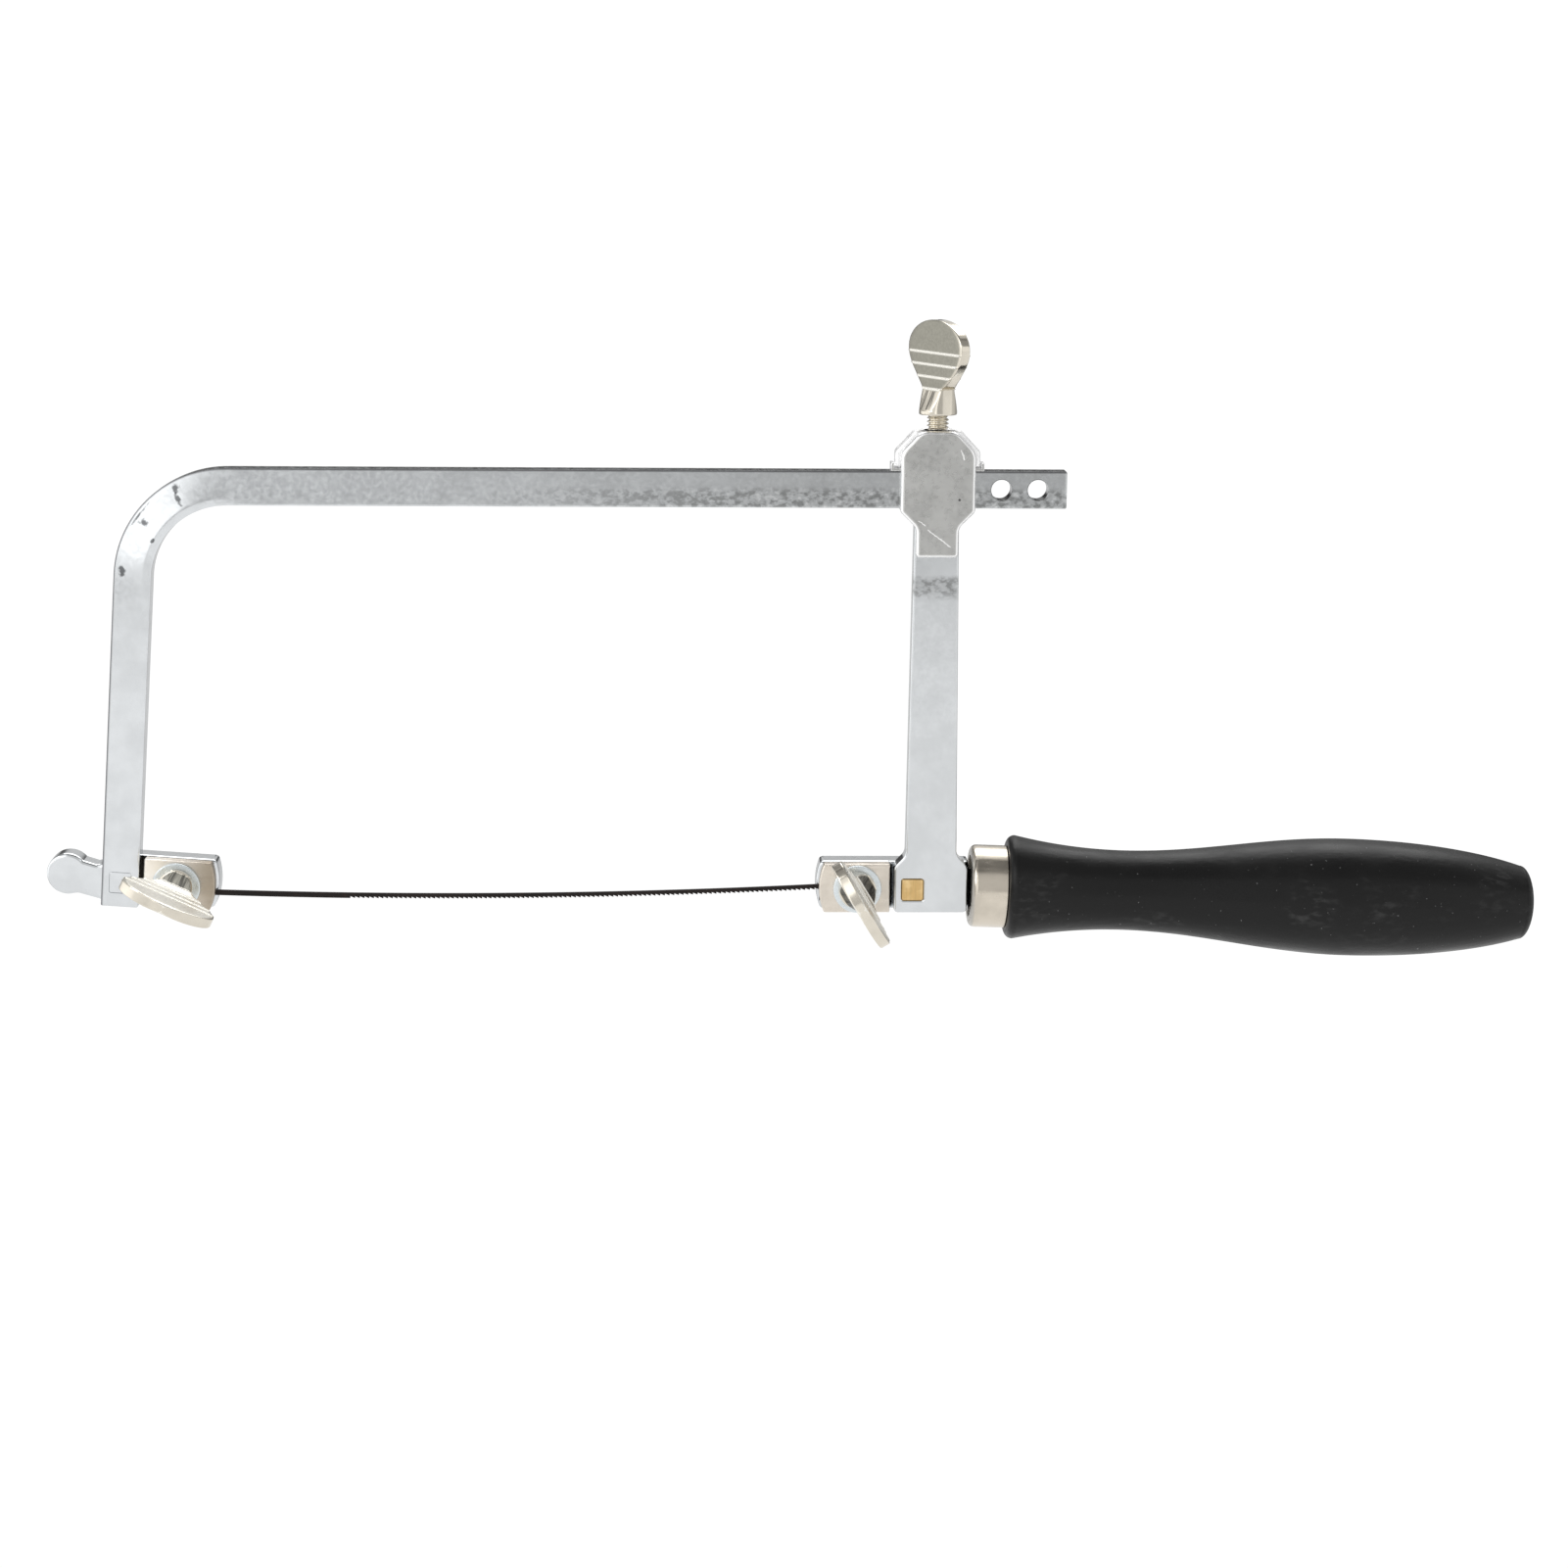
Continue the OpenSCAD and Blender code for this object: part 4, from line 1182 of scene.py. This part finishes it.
class FRETSAW_OT_handle(bpy.types.Operator):
    """Turns the lacquered handle and its ferrule"""

    bl_idname = "fret_saw.handle"
    bl_label = "Handle and ferrule"

    def execute(self, context):
        size = sizes()
        matrix = handle_matrix(size)
        mouth = size.ferrule_at
        profile = handle_profile(size, mouth + size.ferrule_len)
        wood = skin("handle_turned", revolved(profile, matrix, 160), sharp=50)
        dress(put_object("handle_turned", wood), "handle", lacquer_finish(matrix))
        cup = skin("ferrule_drawn", revolved(ferrule_profile(size, mouth), matrix, 128), ring=True)
        dress(put_object("ferrule_drawn", cup), "ferrule", ferrule_finish(matrix, mouth))
        return {"FINISHED"}


# Stage

FLOOR_Y, FLOOR_Z, FLOOR_R, FLOOR_T = -0.35, -0.13, 0.46, 0.004
TARGET = Vector((-0.04604, 0, -0.05537))
DISTANCE = 0.62366
AZIMUTH, ELEVATION, ROLL = math.radians(-2.08), math.radians(11.71), math.radians(0.48)
SENSOR, FOCAL_PIXELS, PHOTO_PIXELS = 36, 3413.6, 1601
WHITE = (1, 1, 1, 1)
# Greys of the surroundings from below the front over the top to below the back, by degrees
SWEEP = (
    (-180, 0.20), (-178.5, 0.45), (-90, 0.48), (-20, 0.42), (-1, 0.40), (3, 0.45), (46, 0.45),
    (52, 0.15), (93, 0.15), (100, 0.8), (140, 0.8), (156, 0.45), (168.5, 0.45), (170.8, 0.02),
    (178, 0.02), (180, 0.20),
)
# Greys from left to right at the front and at the back, which dim the sweep, and of the sides
FRONT = (
    (-1, 0.6), (-0.42, 0.6), (-0.37, 1.0), (-0.215, 1.0), (-0.18, 0.375), (0.34, 0.375),
    (0.46, 0.6), (1, 0.6),
)
BACK = ((-1, 0.1), (-0.4, 0.1), (-0.28, 0.375), (0.2, 0.375), (0.34, 0.22), (1, 0.22))
SIDES = ((-1, 0.38), (-0.86, 0.33), (-0.72, 0.15), (-0.5, 0), (0.76, 0), (0.86, 0.15), (1, 0.18))


def stage_floor():
    """A round pale floor under the saw and in front of it: rings of points from the middle out."""
    angle = np.linspace(0, 2 * math.pi, 128, endpoint=False)
    radius = np.array([0.02, 0.3, 0.6, 1.0]) * FLOOR_R
    ring = points_of(np.cos(angle), np.sin(angle), 0)
    top = radius[:, None, None] * ring + np.array([TARGET.x, FLOOR_Y, FLOOR_Z])
    under = top[[-1, 0]] - np.array([0, 0, FLOOR_T])
    floor = put_object("floor", skin("floor", np.concatenate([top, under])))
    finish = Finish("floor_paper", 0.0, 0.9, (0.08, 0.08, 0.08))
    finish.set("Emission Color", WHITE)
    finish.set("Emission Strength", 0.92)
    floor.data.materials.append(finish.material)


def stage_light(name, place, aim, width, height, power):
    """A rectangle of light at a place, turned to its aim."""
    data = bpy.data.lights.new(name, "AREA")
    data.shape = "RECTANGLE"
    data.size, data.size_y = width, height
    data.energy = power
    light = put_object(name, data)
    light.location = place
    light.rotation_mode = "QUATERNION"
    light.rotation_quaternion = (aim - place).to_track_quat("-Z", "Y")


def stage_world():
    """Soft studio surroundings: white to the camera. To the pieces they are a sweep from the front
    over the top to the back, with a dim ceiling, a bright back and a black line over its horizon.
    Bright panels stand at the sides and at the front's left, and dark ones at the back's
    corners."""
    world = bpy.data.worlds.new("studio")
    bpy.context.scene.world = world
    world.use_nodes = True
    nodes = Nodes(world.node_tree)
    nodes.tree.nodes.clear()
    place = nodes.add("ShaderNodeTexCoord").outputs["Generated"]
    x, y, z = nodes.add("ShaderNodeSeparateXYZ", {0: place}).outputs
    ahead = nodes.times(y, -1)
    sweep = nodes.math("MULTIPLY_ADD", nodes.math("ARCTAN2", z, ahead), 0.5 / math.pi, 0.5)
    base = nodes.ramp(sweep, [(a / 360 + 0.5, grey) for a, grey in SWEEP])
    sideways = nodes.math("MULTIPLY_ADD", x, 0.5, 0.5)
    to_front, to_back, beside = (
        nodes.ramp(sideways, [(a / 2 + 0.5, grey) for a, grey in stops])
        for stops in (FRONT, BACK, SIDES)
    )
    facing = nodes.math("MULTIPLY_ADD", ahead, 5, 0.5)
    facing = nodes.math("MINIMUM", nodes.math("MAXIMUM", facing, 0), 1)
    behind = nodes.math("SUBTRACT", 1, facing)
    spread = nodes.math("ADD", nodes.times(facing, to_front), nodes.times(behind, to_back))
    glow = nodes.math("MAXIMUM", nodes.times(base, spread), beside)
    dim, white = (
        nodes.add("ShaderNodeBackground", {"Color": WHITE, "Strength": strength}).outputs[0]
        for strength in (nodes.times(glow, 4), 1.05)
    )
    seen = nodes.add("ShaderNodeLightPath").outputs["Is Camera Ray"]
    mixed = nodes.add("ShaderNodeMixShader", {0: seen, 1: dim, 2: white})
    nodes.add("ShaderNodeOutputWorld", {0: mixed.outputs[0]})


def stage_camera():
    """The camera that was fitted to the outline: it looks back along its azimuth and elevation at
    the target, and is rolled a little about that line."""
    turned = Matrix.Rotation(AZIMUTH, 4, "Z") @ Matrix.Rotation(math.pi / 2 - ELEVATION, 4, "X")
    back_off = Matrix.Rotation(ROLL, 4, "Z") @ Matrix.Translation((0, 0, DISTANCE))
    data = bpy.data.cameras.new("camera")
    data.lens = SENSOR * FOCAL_PIXELS / PHOTO_PIXELS
    data.sensor_width = SENSOR
    data.clip_start, data.clip_end = 0.01, 20
    camera = put_object("camera", data)
    camera.matrix_world = Matrix.Translation(TARGET) @ turned @ back_off
    bpy.context.scene.camera = camera


class FRETSAW_OT_stage(bpy.types.Operator):
    """Sets the pale floor, the soft light and the camera"""

    bl_idname = "fret_saw.stage"
    bl_label = "Stage"

    def execute(self, context):
        stage_floor()
        stage_world()
        middle = (CAD_BOX[0] + CAD_BOX[1]) / 2
        stage_light("ceiling", middle + Vector((0.05, 0.62, 0.85)), middle, 1.1, 0.6, 4.5)
        stage_light("side", middle + Vector((-0.9, -0.55, 0.55)), middle, 0.5, 0.7, 2.5)
        stage_camera()
        context.scene.view_settings.view_transform = "Standard"
        return {"FINISHED"}


class FRETSAW_PT_panel(bpy.types.Panel):
    """Lists the pieces of the fret saw with their sizes and colours"""

    bl_idname = "FRETSAW_PT_panel"
    bl_label = "Fret Saw"
    bl_space_type = "VIEW_3D"
    bl_region_type = "UI"
    bl_category = "Fret Saw"

    def draw(self, context):
        for operator in OPERATORS:
            self.layout.operator(operator.bl_idname)
        for group in (context.scene.fret_saw_sizes, context.scene.fret_saw_colours):
            column = self.layout.column(align=True)
            for name in group.__annotations__:
                column.prop(group, name)


OPERATORS = (
    FRETSAW_OT_bow,
    FRETSAW_OT_jaws,
    FRETSAW_OT_pegs,
    FRETSAW_OT_clamps,
    FRETSAW_OT_thumb_screws,
    FRETSAW_OT_slide_head,
    FRETSAW_OT_blade,
    FRETSAW_OT_handle,
    FRETSAW_OT_stage,
)
CLASSES = (FretSawSizes, FretSawColours, *OPERATORS, FRETSAW_PT_panel)


def register():
    for cls in CLASSES:
        bpy.utils.register_class(cls)
    bpy.types.Scene.fret_saw_sizes = bpy.props.PointerProperty(type=FretSawSizes)
    bpy.types.Scene.fret_saw_colours = bpy.props.PointerProperty(type=FretSawColours)


def unregister():
    del bpy.types.Scene.fret_saw_colours
    del bpy.types.Scene.fret_saw_sizes
    for cls in reversed(CLASSES):
        bpy.utils.unregister_class(cls)


def main():
    """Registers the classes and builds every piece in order."""
    register()
    for operator in OPERATORS:
        group, name = operator.bl_idname.split(".")
        getattr(getattr(bpy.ops, group), name)()


if __name__ == "__main__":
    main()
